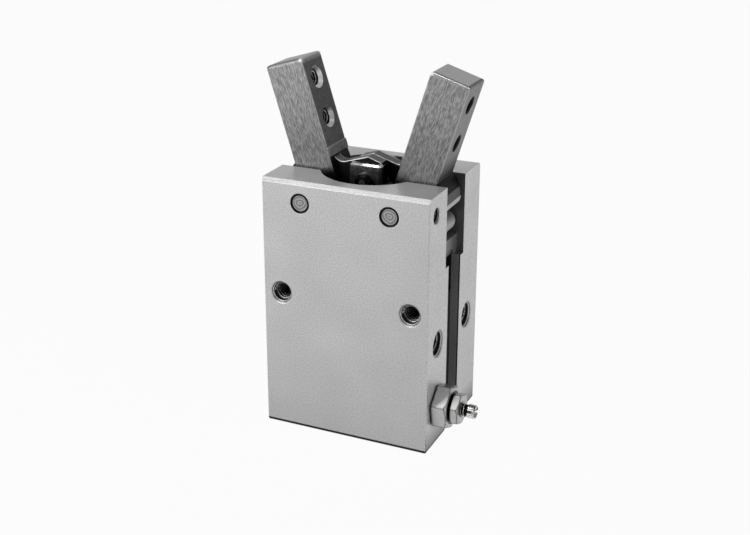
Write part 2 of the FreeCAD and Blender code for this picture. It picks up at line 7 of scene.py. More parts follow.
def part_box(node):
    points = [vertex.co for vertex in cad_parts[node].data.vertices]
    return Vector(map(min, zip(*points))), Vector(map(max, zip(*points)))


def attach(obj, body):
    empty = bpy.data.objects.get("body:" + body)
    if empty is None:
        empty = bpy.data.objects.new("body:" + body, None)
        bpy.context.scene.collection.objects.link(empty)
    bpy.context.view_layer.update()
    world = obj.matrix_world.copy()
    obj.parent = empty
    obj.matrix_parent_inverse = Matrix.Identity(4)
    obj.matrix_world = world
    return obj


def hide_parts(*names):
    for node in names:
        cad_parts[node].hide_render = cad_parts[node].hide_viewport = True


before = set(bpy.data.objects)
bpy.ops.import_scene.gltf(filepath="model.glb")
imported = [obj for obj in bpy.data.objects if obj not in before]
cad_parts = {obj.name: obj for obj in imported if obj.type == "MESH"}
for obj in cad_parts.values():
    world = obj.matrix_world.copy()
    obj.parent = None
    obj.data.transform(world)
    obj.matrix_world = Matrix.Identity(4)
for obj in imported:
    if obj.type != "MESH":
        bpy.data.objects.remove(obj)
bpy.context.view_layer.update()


# Block: milled from one aluminium bar, bead blasted on its outer faces and clear anodised.
# The finger slot, the chamber, the side grooves and all holes are cut afterwards; their dark colour is
# painted shade.
MM = 0.001
BLASTED_PALE = "#CCCCCD"
BLASTED_DEEP = "#9E9E9F"
# Painted highlight, with wear: the pale colour of the block's sharp edges.
EDGE_HIGHLIGHT_PALE = "#E6E6E7"
# Painted shade: the dark colours of the cut slots, grooves and holes.
SHADED_CUT_PALE = "#3A3A3C"
SHADED_CUT_DEEP = "#1A1A1C"
# Painted contact shadow: the black line round the foot.
CONTACT_SHADOW_BLACK = "#050505"
BLAST_GRIT = 0.2 * MM
BLAST_DEPTH = 0.04 * MM
CLOUDING = 9.0 * MM
CLOUD_SHARE = 0.15
MILL_LINES = 0.45 * MM
BLOCK_EDGE = 0.12 * MM
BLOCK_EDGE_HIGHLIGHT = 0.6
EDGE_BEND_START = 0.98
EDGE_BEND_FULL = 0.88
# Shares of painted shade in the finger slot and chamber, and in the side grooves.
SLOT_SHADE = 0.77
SLOT_HALF_WIDTH = 4.22 * MM
SLOT_STEP_HEIGHT = 31.48 * MM
CHAMBER_RADIUS = 9.02 * MM
GROOVE_SHADE = 0.2
GROOVE_DEPTH = 1.9 * MM
GROOVE_HALF_WIDTH = 2.82 * MM
GROOVE_LINES = 0.25 * MM
RIM_DEPTH = 0.4 * MM
HOLE_DEPTH = 0.47 * MM
SINK_LINE = 0.24 * MM
PIN_PLACE = Vector((8.15, 0, 42.0)) * MM
PIN_RELIEF = 1.7 * MM
RELIEF_DEPTH = 0.06 * MM
CHAMFER_START = 44.9 * MM
BASE_EDGE = 0.21 * MM
BASE_LINE = 0.6 * MM
VALVE_FACE = 15.2 * MM
# Painted shadow on the face below the valve.
VALVE_SHADOW_TOP = 5.0 * MM
VALVE_SHADOW_FOOT = 0.3 * MM
VALVE_SHADOW_SHARE = 0.8
# Painted shade: the faces darken slightly towards the foot.
FOOT_SHADE_TOP = 18.0 * MM
FOOT_SHADE_BOTTOM = 1.0 * MM
FOOT_SHADE = 0.13


def linear(hex_colour):
    """Linear RGBA of an sRGB hex colour."""
    parts = [int(hex_colour[start:start + 2], 16) / 255 for start in (1, 3, 5)]
    return [part / 12.92 if part <= 0.04045 else ((part + 0.055) / 1.055) ** 2.4 for part in parts] + [1.0]


def add_node(tree, kind, links=None, values=None, **settings):
    """Adds a shader node with its settings and socket values, and links the given outputs into it."""
    node = tree.nodes.new(kind)
    for name, value in settings.items():
        setattr(node, name, value)
    for socket, value in (values or {}).items():
        node.inputs[socket].default_value = value
    for socket, source in (links or {}).items():
        tree.links.new(source, node.inputs[socket])
    return node


def new_finish(name, metallic, roughness):
    """Empty material: its node tree and its shader, with the plain values set."""
    finish = bpy.data.materials.new(name)
    finish.use_nodes = True
    shader = finish.node_tree.nodes["Principled BSDF"]
    shader.inputs["Metallic"].default_value = metallic
    shader.inputs["Roughness"].default_value = roughness
    return finish, finish.node_tree, shader


def give_finish(finish, *nodes):
    """Puts a material into every slot of the given CAD nodes."""
    for node in nodes:
        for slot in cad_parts[node].material_slots:
            slot.material = finish


def distance_to_axis(tree, place, point, across):
    """Distance from an axis through the given point; across has ones in the two directions square to it."""
    offset = add_node(tree, "ShaderNodeVectorMath", {0: place}, {1: point}, operation="SUBTRACT").outputs[0]
    offset = add_node(tree, "ShaderNodeVectorMath", {0: offset}, {1: across}, operation="MULTIPLY").outputs[0]
    return add_node(tree, "ShaderNodeVectorMath", {0: offset}, operation="LENGTH").outputs["Value"]


def below_faces(tree, place):
    """Depth below the nearest side face of the block, and below its nearest outer face of all."""
    low, high = (Vector(corner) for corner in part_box("body"))
    from_middle = add_node(
        tree, "ShaderNodeVectorMath", {0: place}, {1: (low + high) / 2}, operation="SUBTRACT").outputs[0]
    folded = add_node(tree, "ShaderNodeVectorMath", {0: from_middle}, operation="ABSOLUTE").outputs[0]
    depths = add_node(
        tree, "ShaderNodeVectorMath", {1: folded}, {0: (high - low) / 2}, operation="SUBTRACT").outputs[0]
    axes = add_node(tree, "ShaderNodeSeparateXYZ", {0: depths}).outputs
    side = add_node(tree, "ShaderNodeMath", {0: axes["X"], 1: axes["Y"]}, operation="MINIMUM").outputs[0]
    return side, add_node(tree, "ShaderNodeMath", {0: side, 1: axes["Z"]}, operation="MINIMUM").outputs[0]


def shade_in_holes(tree, place, height, depth):
    """Share of painted shade in the holes: below their pale rims, in a line on each countersink, round each
    pin.
    """
    hole = add_node(
        tree, "ShaderNodeMapRange", {"Value": depth},
        {"From Min": RIM_DEPTH, "From Max": HOLE_DEPTH}).outputs[0]
    line = add_node(
        tree, "ShaderNodeMath", {0: depth}, {1: SINK_LINE, 2: 0.2 * SINK_LINE},
        operation="COMPARE").outputs[0]
    folded = add_node(tree, "ShaderNodeVectorMath", {0: place}, operation="ABSOLUTE").outputs[0]
    pin_ring = add_node(
        tree, "ShaderNodeMath", {0: distance_to_axis(tree, folded, PIN_PLACE, (1, 0, 1))},
        {1: PIN_RELIEF, 2: 0.1 * PIN_RELIEF}, operation="COMPARE").outputs[0]
    sunk = add_node(
        tree, "ShaderNodeMath", {0: depth}, {1: RELIEF_DEPTH}, operation="GREATER_THAN").outputs[0]
    pin_ring = add_node(tree, "ShaderNodeMath", {0: pin_ring, 1: sunk}, operation="MULTIPLY").outputs[0]
    for part in (line, pin_ring):
        hole = add_node(tree, "ShaderNodeMath", {0: hole, 1: part}, operation="MAXIMUM").outputs[0]
    below_chamfer = add_node(
        tree, "ShaderNodeMath", {0: height}, {1: CHAMFER_START}, operation="LESS_THAN").outputs[0]
    return add_node(tree, "ShaderNodeMath", {0: hole, 1: below_chamfer}, operation="MULTIPLY").outputs[0]


def shade_in_slots(tree, place, axes, side_depth, hole):
    """Share of painted shade: as given in holes, most in finger slot and chamber, less in the side grooves
    with dark lines at their edges.
    """
    off_middle = add_node(tree, "ShaderNodeMath", {0: axes["Y"]}, operation="ABSOLUTE").outputs[0]
    slot = add_node(
        tree, "ShaderNodeMath", {0: off_middle}, {1: SLOT_HALF_WIDTH}, operation="LESS_THAN").outputs[0]
    chamber = add_node(
        tree, "ShaderNodeMath", {0: distance_to_axis(tree, place, (0, 0, 0), (1, 1, 0))},
        {1: CHAMBER_RADIUS}, operation="LESS_THAN").outputs[0]
    high = add_node(
        tree, "ShaderNodeMath", {0: axes["Z"]}, {1: SLOT_STEP_HEIGHT}, operation="GREATER_THAN").outputs[0]
    slot = add_node(tree, "ShaderNodeMath", {0: slot, 1: chamber}, operation="MAXIMUM").outputs[0]
    slot = add_node(tree, "ShaderNodeMath", {0: slot, 1: high}, operation="MULTIPLY").outputs[0]
    groove = add_node(
        tree, "ShaderNodeMath", {0: off_middle}, {1: GROOVE_HALF_WIDTH}, operation="LESS_THAN").outputs[0]
    shallow = add_node(
        tree, "ShaderNodeMath", {0: side_depth}, {1: GROOVE_DEPTH}, operation="LESS_THAN").outputs[0]
    groove = add_node(tree, "ShaderNodeMath", {0: groove, 1: shallow}, operation="MULTIPLY").outputs[0]
    groove = add_node(tree, "ShaderNodeMath", {0: groove, 1: high}, operation="GREATER_THAN").outputs[0]
    off_lines = add_node(
        tree, "ShaderNodeMath", {0: side_depth}, {1: GROOVE_DEPTH / 2, 2: GROOVE_DEPTH / 2 - GROOVE_LINES},
        operation="COMPARE").outputs[0]
    groove_shading = add_node(
        tree, "ShaderNodeMapRange", {"Value": off_lines}, {"To Min": 1.0, "To Max": GROOVE_SHADE}).outputs[0]
    shade_share = add_node(tree, "ShaderNodeMix", {0: groove, 2: hole, 3: groove_shading}).outputs[0]
    return add_node(tree, "ShaderNodeMix", {0: slot, 2: shade_share}, {3: SLOT_SHADE}).outputs[0]


def shade_outside(tree, axes):
    """Share of painted shade on the outer faces: a painted shadow low on the valve's side, and a faint
    darkening towards the foot.
    """
    # Painted shadow low on the face below the valve.
    below_valve = add_node(
        tree, "ShaderNodeMath", {0: axes["X"]}, {1: VALVE_FACE}, operation="GREATER_THAN").outputs[0]
    valve_shadow = add_node(
        tree, "ShaderNodeMapRange", {"Value": axes["Z"]},
        {"From Min": VALVE_SHADOW_TOP, "From Max": VALVE_SHADOW_FOOT, "To Max": VALVE_SHADOW_SHARE}).outputs[0]
    valve_shadow = add_node(tree, "ShaderNodeMath", {0: valve_shadow, 1: below_valve}, operation="MULTIPLY").outputs[0]
    # Painted shade: the faces darken slightly towards the foot.
    height_shading = add_node(
        tree, "ShaderNodeMapRange", {"Value": axes["Z"]},
        {"From Min": FOOT_SHADE_TOP, "From Max": FOOT_SHADE_BOTTOM, "To Max": FOOT_SHADE}).outputs[0]
    return add_node(tree, "ShaderNodeMath", {0: valve_shadow, 1: height_shading}, operation="MAXIMUM").outputs[0]


def soft_edges(tree, radius):
    """Normal of a surface whose sharp edges are broken by the given radius, so that they catch the light."""
    return add_node(tree, "ShaderNodeBevel", values={"Radius": radius}, samples=6).outputs[0]


def sharp_edge_share(tree, radius, start=EDGE_BEND_START):
    """One on sharp edges and zero beyond the given radius from them; it places painted highlights and painted
    dark edge lines.
    """
    flat = add_node(tree, "ShaderNodeNewGeometry").outputs["Normal"]
    bend = add_node(
        tree, "ShaderNodeVectorMath", {0: soft_edges(tree, radius), 1: flat},
        operation="DOT_PRODUCT").outputs["Value"]
    return add_node(
        tree, "ShaderNodeMapRange", {"Value": bend}, {"From Min": start, "From Max": EDGE_BEND_FULL}).outputs[0]


def blasted_aluminium():
    """Bead blasted, anodised aluminium: an even satin grey with a sandy grain, drawn coarse enough to show.

    Slots and holes are bare cuts, dark with painted shade below a thin pale rim. Sharp edges carry a pale
    painted highlight with wear, a painted shadow lies below the valve, the faces are painted darker towards
    the foot, and a painted black contact shadow runs round the foot."""
    finish, tree, shader = new_finish("blasted_anodised_aluminium", metallic=0.5, roughness=0.4)
    place = add_node(tree, "ShaderNodeTexCoord").outputs["Object"]
    axes = add_node(tree, "ShaderNodeSeparateXYZ", {0: place}).outputs
    side_depth, depth = below_faces(tree, place)
    # Painted shade in the holes, the finger slot, the chamber and the side grooves.
    hole = shade_in_holes(tree, place, axes["Z"], depth)
    shade_share = shade_in_slots(tree, place, axes, side_depth, hole)
    shade_share = add_node(
        tree, "ShaderNodeMath", {0: shade_share, 1: shade_outside(tree, axes)}, operation="MAXIMUM").outputs[0]
    # Painted contact shadow: a black line low on the side faces round the foot.
    at_base = add_node(
        tree, "ShaderNodeMapRange", {"Value": axes["Z"]},
        {"From Min": BASE_LINE, "From Max": 0.9 * BASE_LINE}).outputs[0]
    at_side = add_node(
        tree, "ShaderNodeMath", {0: side_depth}, {1: BASE_EDGE}, operation="LESS_THAN").outputs[0]
    contact_shadow = add_node(tree, "ShaderNodeMath", {0: at_base, 1: at_side}, operation="MULTIPLY").outputs[0]
    grit = add_node(
        tree, "ShaderNodeTexNoise", {"Vector": place},
        {"Scale": 1 / BLAST_GRIT, "Detail": 2.0}).outputs["Fac"]
    cloud = add_node(
        tree, "ShaderNodeTexNoise", {"Vector": place}, {"Scale": 1 / CLOUDING, "Detail": 1.0}).outputs["Fac"]
    tone = add_node(
        tree, "ShaderNodeMath", {0: cloud, 2: grit}, {1: CLOUD_SHARE}, operation="MULTIPLY_ADD").outputs[0]
    tone = add_node(
        tree, "ShaderNodeMapRange", {"Value": tone}, {"From Min": 0.35, "From Max": 0.8}).outputs[0]
    blasted = add_node(
        tree, "ShaderNodeMix", {0: tone}, {6: linear(BLASTED_DEEP), 7: linear(BLASTED_PALE)},
        data_type="RGBA").outputs[2]
    # Painted highlight, with wear: sharp edges turn pale.
    wear_and_highlight = add_node(
        tree, "ShaderNodeMath", {0: sharp_edge_share(tree, BLOCK_EDGE)}, {1: BLOCK_EDGE_HIGHLIGHT},
        operation="MULTIPLY").outputs[0]
    blasted = add_node(
        tree, "ShaderNodeMix", {0: wear_and_highlight, 6: blasted}, {7: linear(EDGE_HIGHLIGHT_PALE)}, data_type="RGBA").outputs[2]
    lines = add_node(
        tree, "ShaderNodeTexNoise", {"Vector": place},
        {"Scale": 1 / MILL_LINES, "Detail": 3.0}).outputs["Fac"]
    cut = add_node(
        tree, "ShaderNodeMix", {0: lines}, {6: linear(SHADED_CUT_DEEP), 7: linear(SHADED_CUT_PALE)},
        data_type="RGBA").outputs[2]
    colour = add_node(tree, "ShaderNodeMix", {0: shade_share, 6: blasted, 7: cut}, data_type="RGBA").outputs[2]
    colour = add_node(
        tree, "ShaderNodeMix", {0: contact_shadow, 6: colour}, {7: linear(CONTACT_SHADOW_BLACK)}, data_type="RGBA").outputs[2]
    tree.links.new(colour, shader.inputs["Base Color"])
    rough = add_node(
        tree, "ShaderNodeMapRange", {"Value": grit},
        {"From Min": 0.3, "From Max": 0.7, "To Min": 0.32, "To Max": 0.44}).outputs[0]
    tree.links.new(rough, shader.inputs["Roughness"])
    relief = add_node(
        tree, "ShaderNodeBump", {"Height": grit, "Normal": soft_edges(tree, BLOCK_EDGE)},
        {"Strength": 0.4, "Distance": BLAST_DEPTH}).outputs[0]
    tree.links.new(relief, shader.inputs["Normal"])
    return finish


give_finish(blasted_aluminium(), "body")


# Tapped holes of the block: M4 in front, rear and bottom, M5 in the ports, M3 at the set screws.
# Each thread is one helical ridge on the drilled wall; its crests carry a painted highlight, and its roots
# and deeper turns painted shade.
THREAD_STEPS = 32
CREST_SHARE = 0.25
ROOT_SHARE = 0.62
SUNK_IN_WALL = 0.02 * MM
MERGE_WITHIN = 0.0001 * MM
LIT_TURNS = 8.0
DRAG_MARKS = 0.25 * MM
DRAG_DEPTH = 0.01 * MM
BRIGHT_FROM = 0.26
BRIGHT_RANGE = 0.22
# Painted shade in the thread roots and deeper turns; painted highlight on the crests.
THREAD_SHADE = "#0E0E0F"
ALUMINIUM_CREST_HIGHLIGHT = "#E4E4E4"


def helical_ridge(name, root_radius, crest_radius, pitch, turns, lit_turns=LIT_TURNS):
    """Closed ridge of a thread about Z that starts at the origin's height.

    Its attribute bright_crest holds painted light: a highlight on the crests, fading as painted shade to the
    roots and down the hole."""
    height = crest_radius - root_radius
    bpy.ops.object.select_all(action="DESELECT")
    bpy.ops.mesh.primitive_plane_add(size=1, rotation=(math.pi / 2, 0, 0))
    bpy.ops.object.transform_apply(rotation=True)
    ridge = bpy.context.object
    ridge.name = name
    ridge.data.name = name
    bpy.ops.object.mode_set(mode="EDIT")
    bpy.ops.mesh.select_all(action="SELECT")
    bpy.ops.transform.resize(value=(abs(height), 1, ROOT_SHARE * pitch))
    bpy.ops.mesh.select_all(action="DESELECT")
    bpy.ops.object.mode_set(mode="OBJECT")
    for vertex in ridge.data.vertices:
        vertex.select = vertex.co.x * height > 0
    bpy.ops.object.mode_set(mode="EDIT")
    bpy.ops.transform.resize(value=(1, 1, CREST_SHARE))
    bpy.ops.mesh.select_all(action="SELECT")
    bpy.ops.transform.translate(value=((root_radius + crest_radius) / 2, 0, pitch / 2))
    bpy.ops.mesh.delete(type="ONLY_FACE")
    bpy.ops.object.mode_set(mode="OBJECT")
    screw = ridge.modifiers.new("turns", "SCREW")
    screw.axis = "Z"
    screw.angle = 2 * math.pi
    screw.screw_offset = pitch
    screw.iterations = turns
    screw.steps = THREAD_STEPS
    screw.render_steps = THREAD_STEPS
    bpy.ops.object.modifier_apply(modifier="turns")
    bpy.ops.object.mode_set(mode="EDIT")
    bpy.ops.mesh.select_all(action="SELECT")
    bpy.ops.mesh.remove_doubles(threshold=MERGE_WITHIN)
    bpy.ops.mesh.select_all(action="DESELECT")
    bpy.ops.mesh.select_non_manifold()
    bpy.ops.mesh.fill_holes(sides=4)
    bpy.ops.mesh.select_all(action="SELECT")
    bpy.ops.mesh.normals_make_consistent(inside=False)
    bpy.ops.object.mode_set(mode="OBJECT")
    bpy.ops.object.shade_smooth_by_angle(angle=math.radians(40))
    bright = ridge.data.attributes.new("bright_crest", "FLOAT", "CORNER")
    for corner, shine in zip(ridge.data.loops, bright.data):
        at = ridge.data.vertices[corner.vertex_index].co
        rise = (math.hypot(at.x, at.y) - root_radius) / height
        shine.value = max(0, rise) * max(0, 1 - at.z / (lit_turns * pitch))
    return ridge


def set_in_hole(pattern, name, mouth, inward, finish, body):
    """Copies a thread to the mouth of a hole, pointing inwards; it moves with the hole's body."""
    thread = pattern.copy()
    thread.data = pattern.data.copy()
    thread.name = name
    thread.data.name = name
    bpy.context.collection.objects.link(thread)
    turn = Vector(inward).to_track_quat("Z", "Y").to_matrix().to_4x4()
    thread.data.transform(Matrix.Translation(mouth) @ turn)
    thread.data.materials.clear()
    thread.data.materials.append(finish)
    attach(thread, body)


def tapped(name, deep, pale, metallic, roughness, bright_from=BRIGHT_FROM):
    """Freshly cut thread with drag marks: a painted highlight on the crests, painted shade in the roots and
    deeper turns.
    """
    finish, tree, shader = new_finish(name, metallic, roughness)
    place = add_node(tree, "ShaderNodeTexCoord").outputs["Object"]
    crest = add_node(tree, "ShaderNodeAttribute", attribute_name="bright_crest").outputs["Fac"]
    marks = add_node(
        tree, "ShaderNodeTexNoise", {"Vector": place},
        {"Scale": 1 / DRAG_MARKS, "Detail": 3.0}).outputs["Fac"]
    share = add_node(tree, "ShaderNodeMath", {0: crest, 1: marks}, operation="MULTIPLY").outputs[0]
    share = add_node(
        tree, "ShaderNodeMapRange", {"Value": share},
        {"From Min": bright_from, "From Max": bright_from + BRIGHT_RANGE}).outputs[0]
    colour = add_node(
        tree, "ShaderNodeMix", {0: share}, {6: linear(deep), 7: linear(pale)}, data_type="RGBA").outputs[2]
    tree.links.new(colour, shader.inputs["Base Color"])
    relief = add_node(
        tree, "ShaderNodeBump", {"Height": marks}, {"Strength": 0.3, "Distance": DRAG_DEPTH}).outputs[0]
    tree.links.new(relief, shader.inputs["Normal"])
    return finish


tapped_aluminium = tapped("tapped_aluminium", THREAD_SHADE, ALUMINIUM_CREST_HIGHLIGHT, metallic=0.3, roughness=0.5)
m4 = helical_ridge(
    "m4_ridge", root_radius=1.65 * MM + SUNK_IN_WALL, crest_radius=1.42 * MM, pitch=0.7 * MM, turns=8)
m5 = helical_ridge(
    "m5_ridge", root_radius=2.1 * MM + SUNK_IN_WALL, crest_radius=1.84 * MM, pitch=0.8 * MM, turns=5,
    lit_turns=5.0)
m3_short = helical_ridge(
    "m3_short_ridge", root_radius=1.25 * MM + SUNK_IN_WALL, crest_radius=1.07 * MM, pitch=0.5 * MM, turns=4,
    lit_turns=2.5)
BLOCK_THREADS = (
    (m4, "front_thread_left", (-12, -11.45, 25.3), (0, 1, 0)),
    (m4, "front_thread_right", (12, -11.45, 25.3), (0, 1, 0)),
    (m4, "rear_thread_left", (-12, 11.45, 25.3), (0, -1, 0)),
    (m4, "rear_thread_right", (12, 11.45, 25.3), (0, -1, 0)),
    (m4, "base_thread_left", (-11, 0, 0.35), (0, 0, 1)),
    (m4, "base_thread_right", (11, 0, 0.35), (0, 0, 1)),
    (m5, "front_port_thread", (15.0, -6.8, 18.7), (-1, 0, 0)),
    (m5, "rear_port_thread", (15.0, 6.8, 18.7), (-1, 0, 0)),
    (m3_short, "set_screw_thread_left", (-15.0, -8.7, 42.3), (1, 0, 0)),
    (m3_short, "set_screw_thread_right", (15.0, -8.7, 42.3), (-1, 0, 0)),
)
for pattern, name, mouth, inward in BLOCK_THREADS:
    set_in_hole(pattern, name, Vector(mouth) * MM, inward, tapped_aluminium, "housing")
for pattern in (m4, m5, m3_short):
    bpy.data.objects.remove(pattern)


# Closing parts of the bore, underneath: a moulded resin cap on a rubber gasket, held by a spring ring.
# The bumpers and seals inside and the gasket of the valve are moulded from the same rubber.
RUBBER_BLACK = "#1C1C1D"
RUBBER_GREY = "#2A2A2B"
RESIN_BLACK = "#29292B"
RESIN_GREY = "#3A3A3D"
SMALL_EDGE = 0.1 * MM
ROUGHNESS_RANGE = 0.08


def speckled(name, deep, pale, speck, metallic, roughness, relief_height):
    """Even finish with fine specks of two tones, a slight relief and broken edges."""
    finish, tree, shader = new_finish(name, metallic, roughness)
    place = add_node(tree, "ShaderNodeTexCoord").outputs["Object"]
    specks = add_node(
        tree, "ShaderNodeTexNoise", {"Vector": place}, {"Scale": 1 / speck, "Detail": 4.0}).outputs["Fac"]
    colour = add_node(
        tree, "ShaderNodeMix", {0: specks}, {6: linear(deep), 7: linear(pale)}, data_type="RGBA").outputs[2]
    tree.links.new(colour, shader.inputs["Base Color"])
    rough = add_node(
        tree, "ShaderNodeMapRange", {"Value": specks},
        {"To Min": roughness - ROUGHNESS_RANGE, "To Max": roughness + ROUGHNESS_RANGE}).outputs[0]
    tree.links.new(rough, shader.inputs["Roughness"])
    relief = add_node(
        tree, "ShaderNodeBump", {"Height": specks, "Normal": soft_edges(tree, SMALL_EDGE)},
        {"Strength": 0.4, "Distance": relief_height}).outputs[0]
    tree.links.new(relief, shader.inputs["Normal"])
    return finish


rubber = speckled(
    "moulded_rubber", RUBBER_BLACK, RUBBER_GREY, speck=0.4 * MM, metallic=0.0, roughness=0.62,
    relief_height=0.02 * MM)
resin = speckled(
    "moulded_resin", RESIN_BLACK, RESIN_GREY, speck=0.5 * MM, metallic=0.0, roughness=0.48,
    relief_height=0.02 * MM)
give_finish(resin, "end_cap", "wear_ring")
give_finish(
    rubber, "cap_gasket", "cap_bumper", "rod_bumper", "rod_seal", "piston_seal", "needle_o_ring",
    "needle_valve_gasket")


# Piston and rod: turned from steel and ground, with a bonded magnet ring, a lip seal and a wear ring.
# Only the rod's end can be seen, deep in the chamber below the clevis. The ball that closes the drilled
# air passage is ground steel too.
ROD_PALE = "#B4B5B6"
ROD_DEEP = "#8E8F91"
MAGNET_PALE = "#3B3632"
MAGNET_DEEP = "#2B2724"
ground_steel = speckled(
    "ground_rod_steel", ROD_DEEP, ROD_PALE, speck=0.3 * MM, metallic=1.0, roughness=0.28,
    relief_height=0.005 * MM)
bonded_magnet = speckled(
    "bonded_magnet", MAGNET_DEEP, MAGNET_PALE, speck=0.3 * MM, metallic=0.2, roughness=0.6,
    relief_height=0.01 * MM)
give_finish(ground_steel, "piston", "passage_ball")
give_finish(bonded_magnet, "piston_magnet")


# Clevis on the rod: machined steel, blackened and oiled. It lies between the fingers' arms.
# The spring ring of the cap has the same finish.
CLEVIS_PALE = "#47474A"
CLEVIS_BLACK = "#232326"
# Painted highlight, partly wear: the pale colour on the clevis's edges, boss and top.
RUBBED_HIGHLIGHT = "#E2E2E3"
BATH_BLOTCHES = 0.7 * MM
BLOTCH_DEPTH = 0.01 * MM
HIGHLIGHT_PATCHES = 3.0 * MM
CLEVIS_EDGE = 0.18 * MM
CLEVIS_EDGE_HIGHLIGHT = 0.3 * MM
CLEVIS_PIN_Z = 44.57 * MM
CLEVIS_TOP = 47.67 * MM
TOP_LIGHT_FADES = 2.1 * MM
TOP_FLAT = 0.3 * MM
TOP_HIGHLIGHT = 0.35 * MM
TOP_HIGHLIGHT_FROM = -0.7 * MM
TOP_HIGHLIGHT_FULL = 0.6 * MM
BOSS_RADIUS = 1.5 * MM
TOP_SHEEN_SHARE = 0.3


def blackened_steel():
    """Blackened, oiled steel: glossy and nearly black, blotched by the bath.

    Painted highlights lie along its upper edges, partly as wear, round the pin's boss and in a line at one
    end of the top;
    it is also painted paler towards the top."""
    finish, tree, shader = new_finish("blackened_steel", metallic=0.8, roughness=0.26)
    place = add_node(tree, "ShaderNodeTexCoord").outputs["Object"]
    axes = add_node(tree, "ShaderNodeSeparateXYZ", {0: place}).outputs
    blotches = add_node(
        tree, "ShaderNodeTexNoise", {"Vector": place},
        {"Scale": 1 / BATH_BLOTCHES, "Detail": 4.0}).outputs["Fac"]
    black = add_node(
        tree, "ShaderNodeMix", {0: blotches}, {6: linear(CLEVIS_BLACK), 7: linear(CLEVIS_PALE)},
        data_type="RGBA").outputs[2]
    highlight_patches = add_node(
        tree, "ShaderNodeTexNoise", {"Vector": place},
        {"Scale": 1 / HIGHLIGHT_PATCHES, "Detail": 1.0}).outputs["Fac"]
    highlight_patches = add_node(
        tree, "ShaderNodeMapRange", {"Value": highlight_patches}, {"From Min": 0.35, "From Max": 0.6}).outputs[0]
    # Painted highlight round the pin's boss and, partly as wear, along the upper edges.
    boss_highlight = add_node(
        tree, "ShaderNodeMath", {0: distance_to_axis(tree, place, (0, 0, CLEVIS_PIN_Z), (1, 0, 1))},
        {1: BOSS_RADIUS, 2: 0.1 * BOSS_RADIUS}, operation="COMPARE").outputs[0]
    wear_and_highlight = add_node(
        tree, "ShaderNodeMath", {0: sharp_edge_share(tree, CLEVIS_EDGE_HIGHLIGHT), 1: boss_highlight},
        operation="MAXIMUM").outputs[0]
    # Painted light: the clevis grows paler towards its top.
    top_light = add_node(
        tree, "ShaderNodeMapRange", {"Value": axes["Z"]},
        {"From Min": CLEVIS_TOP - TOP_FLAT - TOP_LIGHT_FADES, "From Max": CLEVIS_TOP - TOP_FLAT,
         "To Min": 0.2, "To Max": 0.55}).outputs[0]
    for part in (highlight_patches, top_light):
        wear_and_highlight = add_node(tree, "ShaderNodeMath", {0: wear_and_highlight, 1: part}, operation="MULTIPLY").outputs[0]
    # Painted highlight: a line at one end of the top.
    top_highlight = add_node(
        tree, "ShaderNodeMath", {0: axes["Z"]}, {1: CLEVIS_TOP - 0.55 * TOP_HIGHLIGHT, 2: 0.5 * TOP_HIGHLIGHT},
        operation="COMPARE").outputs[0]
    one_end = add_node(
        tree, "ShaderNodeMapRange", {"Value": axes["X"]},
        {"From Min": TOP_HIGHLIGHT_FROM, "From Max": TOP_HIGHLIGHT_FULL, "To Min": 0.08}).outputs[0]
    top_highlight = add_node(tree, "ShaderNodeMath", {0: top_highlight, 1: one_end}, operation="MULTIPLY").outputs[0]
    height_shading = add_node(tree, "ShaderNodeMath", {0: top_light, 1: blotches}, operation="MULTIPLY").outputs[0]
    height_shading = add_node(tree, "ShaderNodeMath", {0: height_shading}, {1: TOP_SHEEN_SHARE}, operation="MULTIPLY").outputs[0]
    for part in (top_highlight, height_shading):
        wear_and_highlight = add_node(tree, "ShaderNodeMath", {0: wear_and_highlight, 1: part}, operation="MAXIMUM").outputs[0]
    colour = add_node(
        tree, "ShaderNodeMix", {0: wear_and_highlight, 6: black}, {7: linear(RUBBED_HIGHLIGHT)}, data_type="RGBA").outputs[2]
    tree.links.new(colour, shader.inputs["Base Color"])
    rough = add_node(
        tree, "ShaderNodeMapRange", {"Value": blotches}, {"To Min": 0.18, "To Max": 0.36}).outputs[0]
    tree.links.new(rough, shader.inputs["Roughness"])
    relief = add_node(
        tree, "ShaderNodeBump", {"Height": blotches, "Normal": soft_edges(tree, CLEVIS_EDGE)},
        {"Strength": 0.4, "Distance": BLOTCH_DEPTH}).outputs[0]
    tree.links.new(relief, shader.inputs["Normal"])
    return finish


blackened = blackened_steel()
give_finish(blackened, "joint", "retaining_ring")


# Fingers: each milled from one piece of steel, its bar ground on all sides. Two tapped holes go through it.
# The arm and the hub in the slot are painted dark with shade. Sizes are measured from the pivot pin, with X
# pointing away from the grip and Z along the bar.
OPEN_TILT = math.radians(17.5)
PIVOT_X = 8.15 * MM
PIVOT_Z = 42.0 * MM
INNER_FACE = -3.42 * MM
OUTER_FACE = 3.66 * MM
BAR_HALF_DEPTH = 3.55 * MM
BAR_TOP = 22.8 * MM
FADE = 0.05 * MM
CORNER_WIDTH = 0.2 * MM
ARM_FROM = -3.56 * MM
ARM_FULL = -3.62 * MM
HUB_SIDE_FROM = 3.69 * MM
HUB_SIDE_FULL = 3.74 * MM
TIP_START = 22.1 * MM
TIP_END = 22.6 * MM
TIP_ROUNDING = 0.6 * MM
TIP_CORNER_EDGE = 0.85 * MM
TIP_CORNER_FULL = 0.55 * MM
FINGER_EDGE = 0.15 * MM
BAND_BOTTOM = 5.3 * MM
BAND_TOP = 6.9 * MM
BAND_LINE = 0.09 * MM
LIT_BAND_FROM = 21.75 * MM
CORNERS_FROM = 7.5 * MM
CORNERS_END = 6.9 * MM
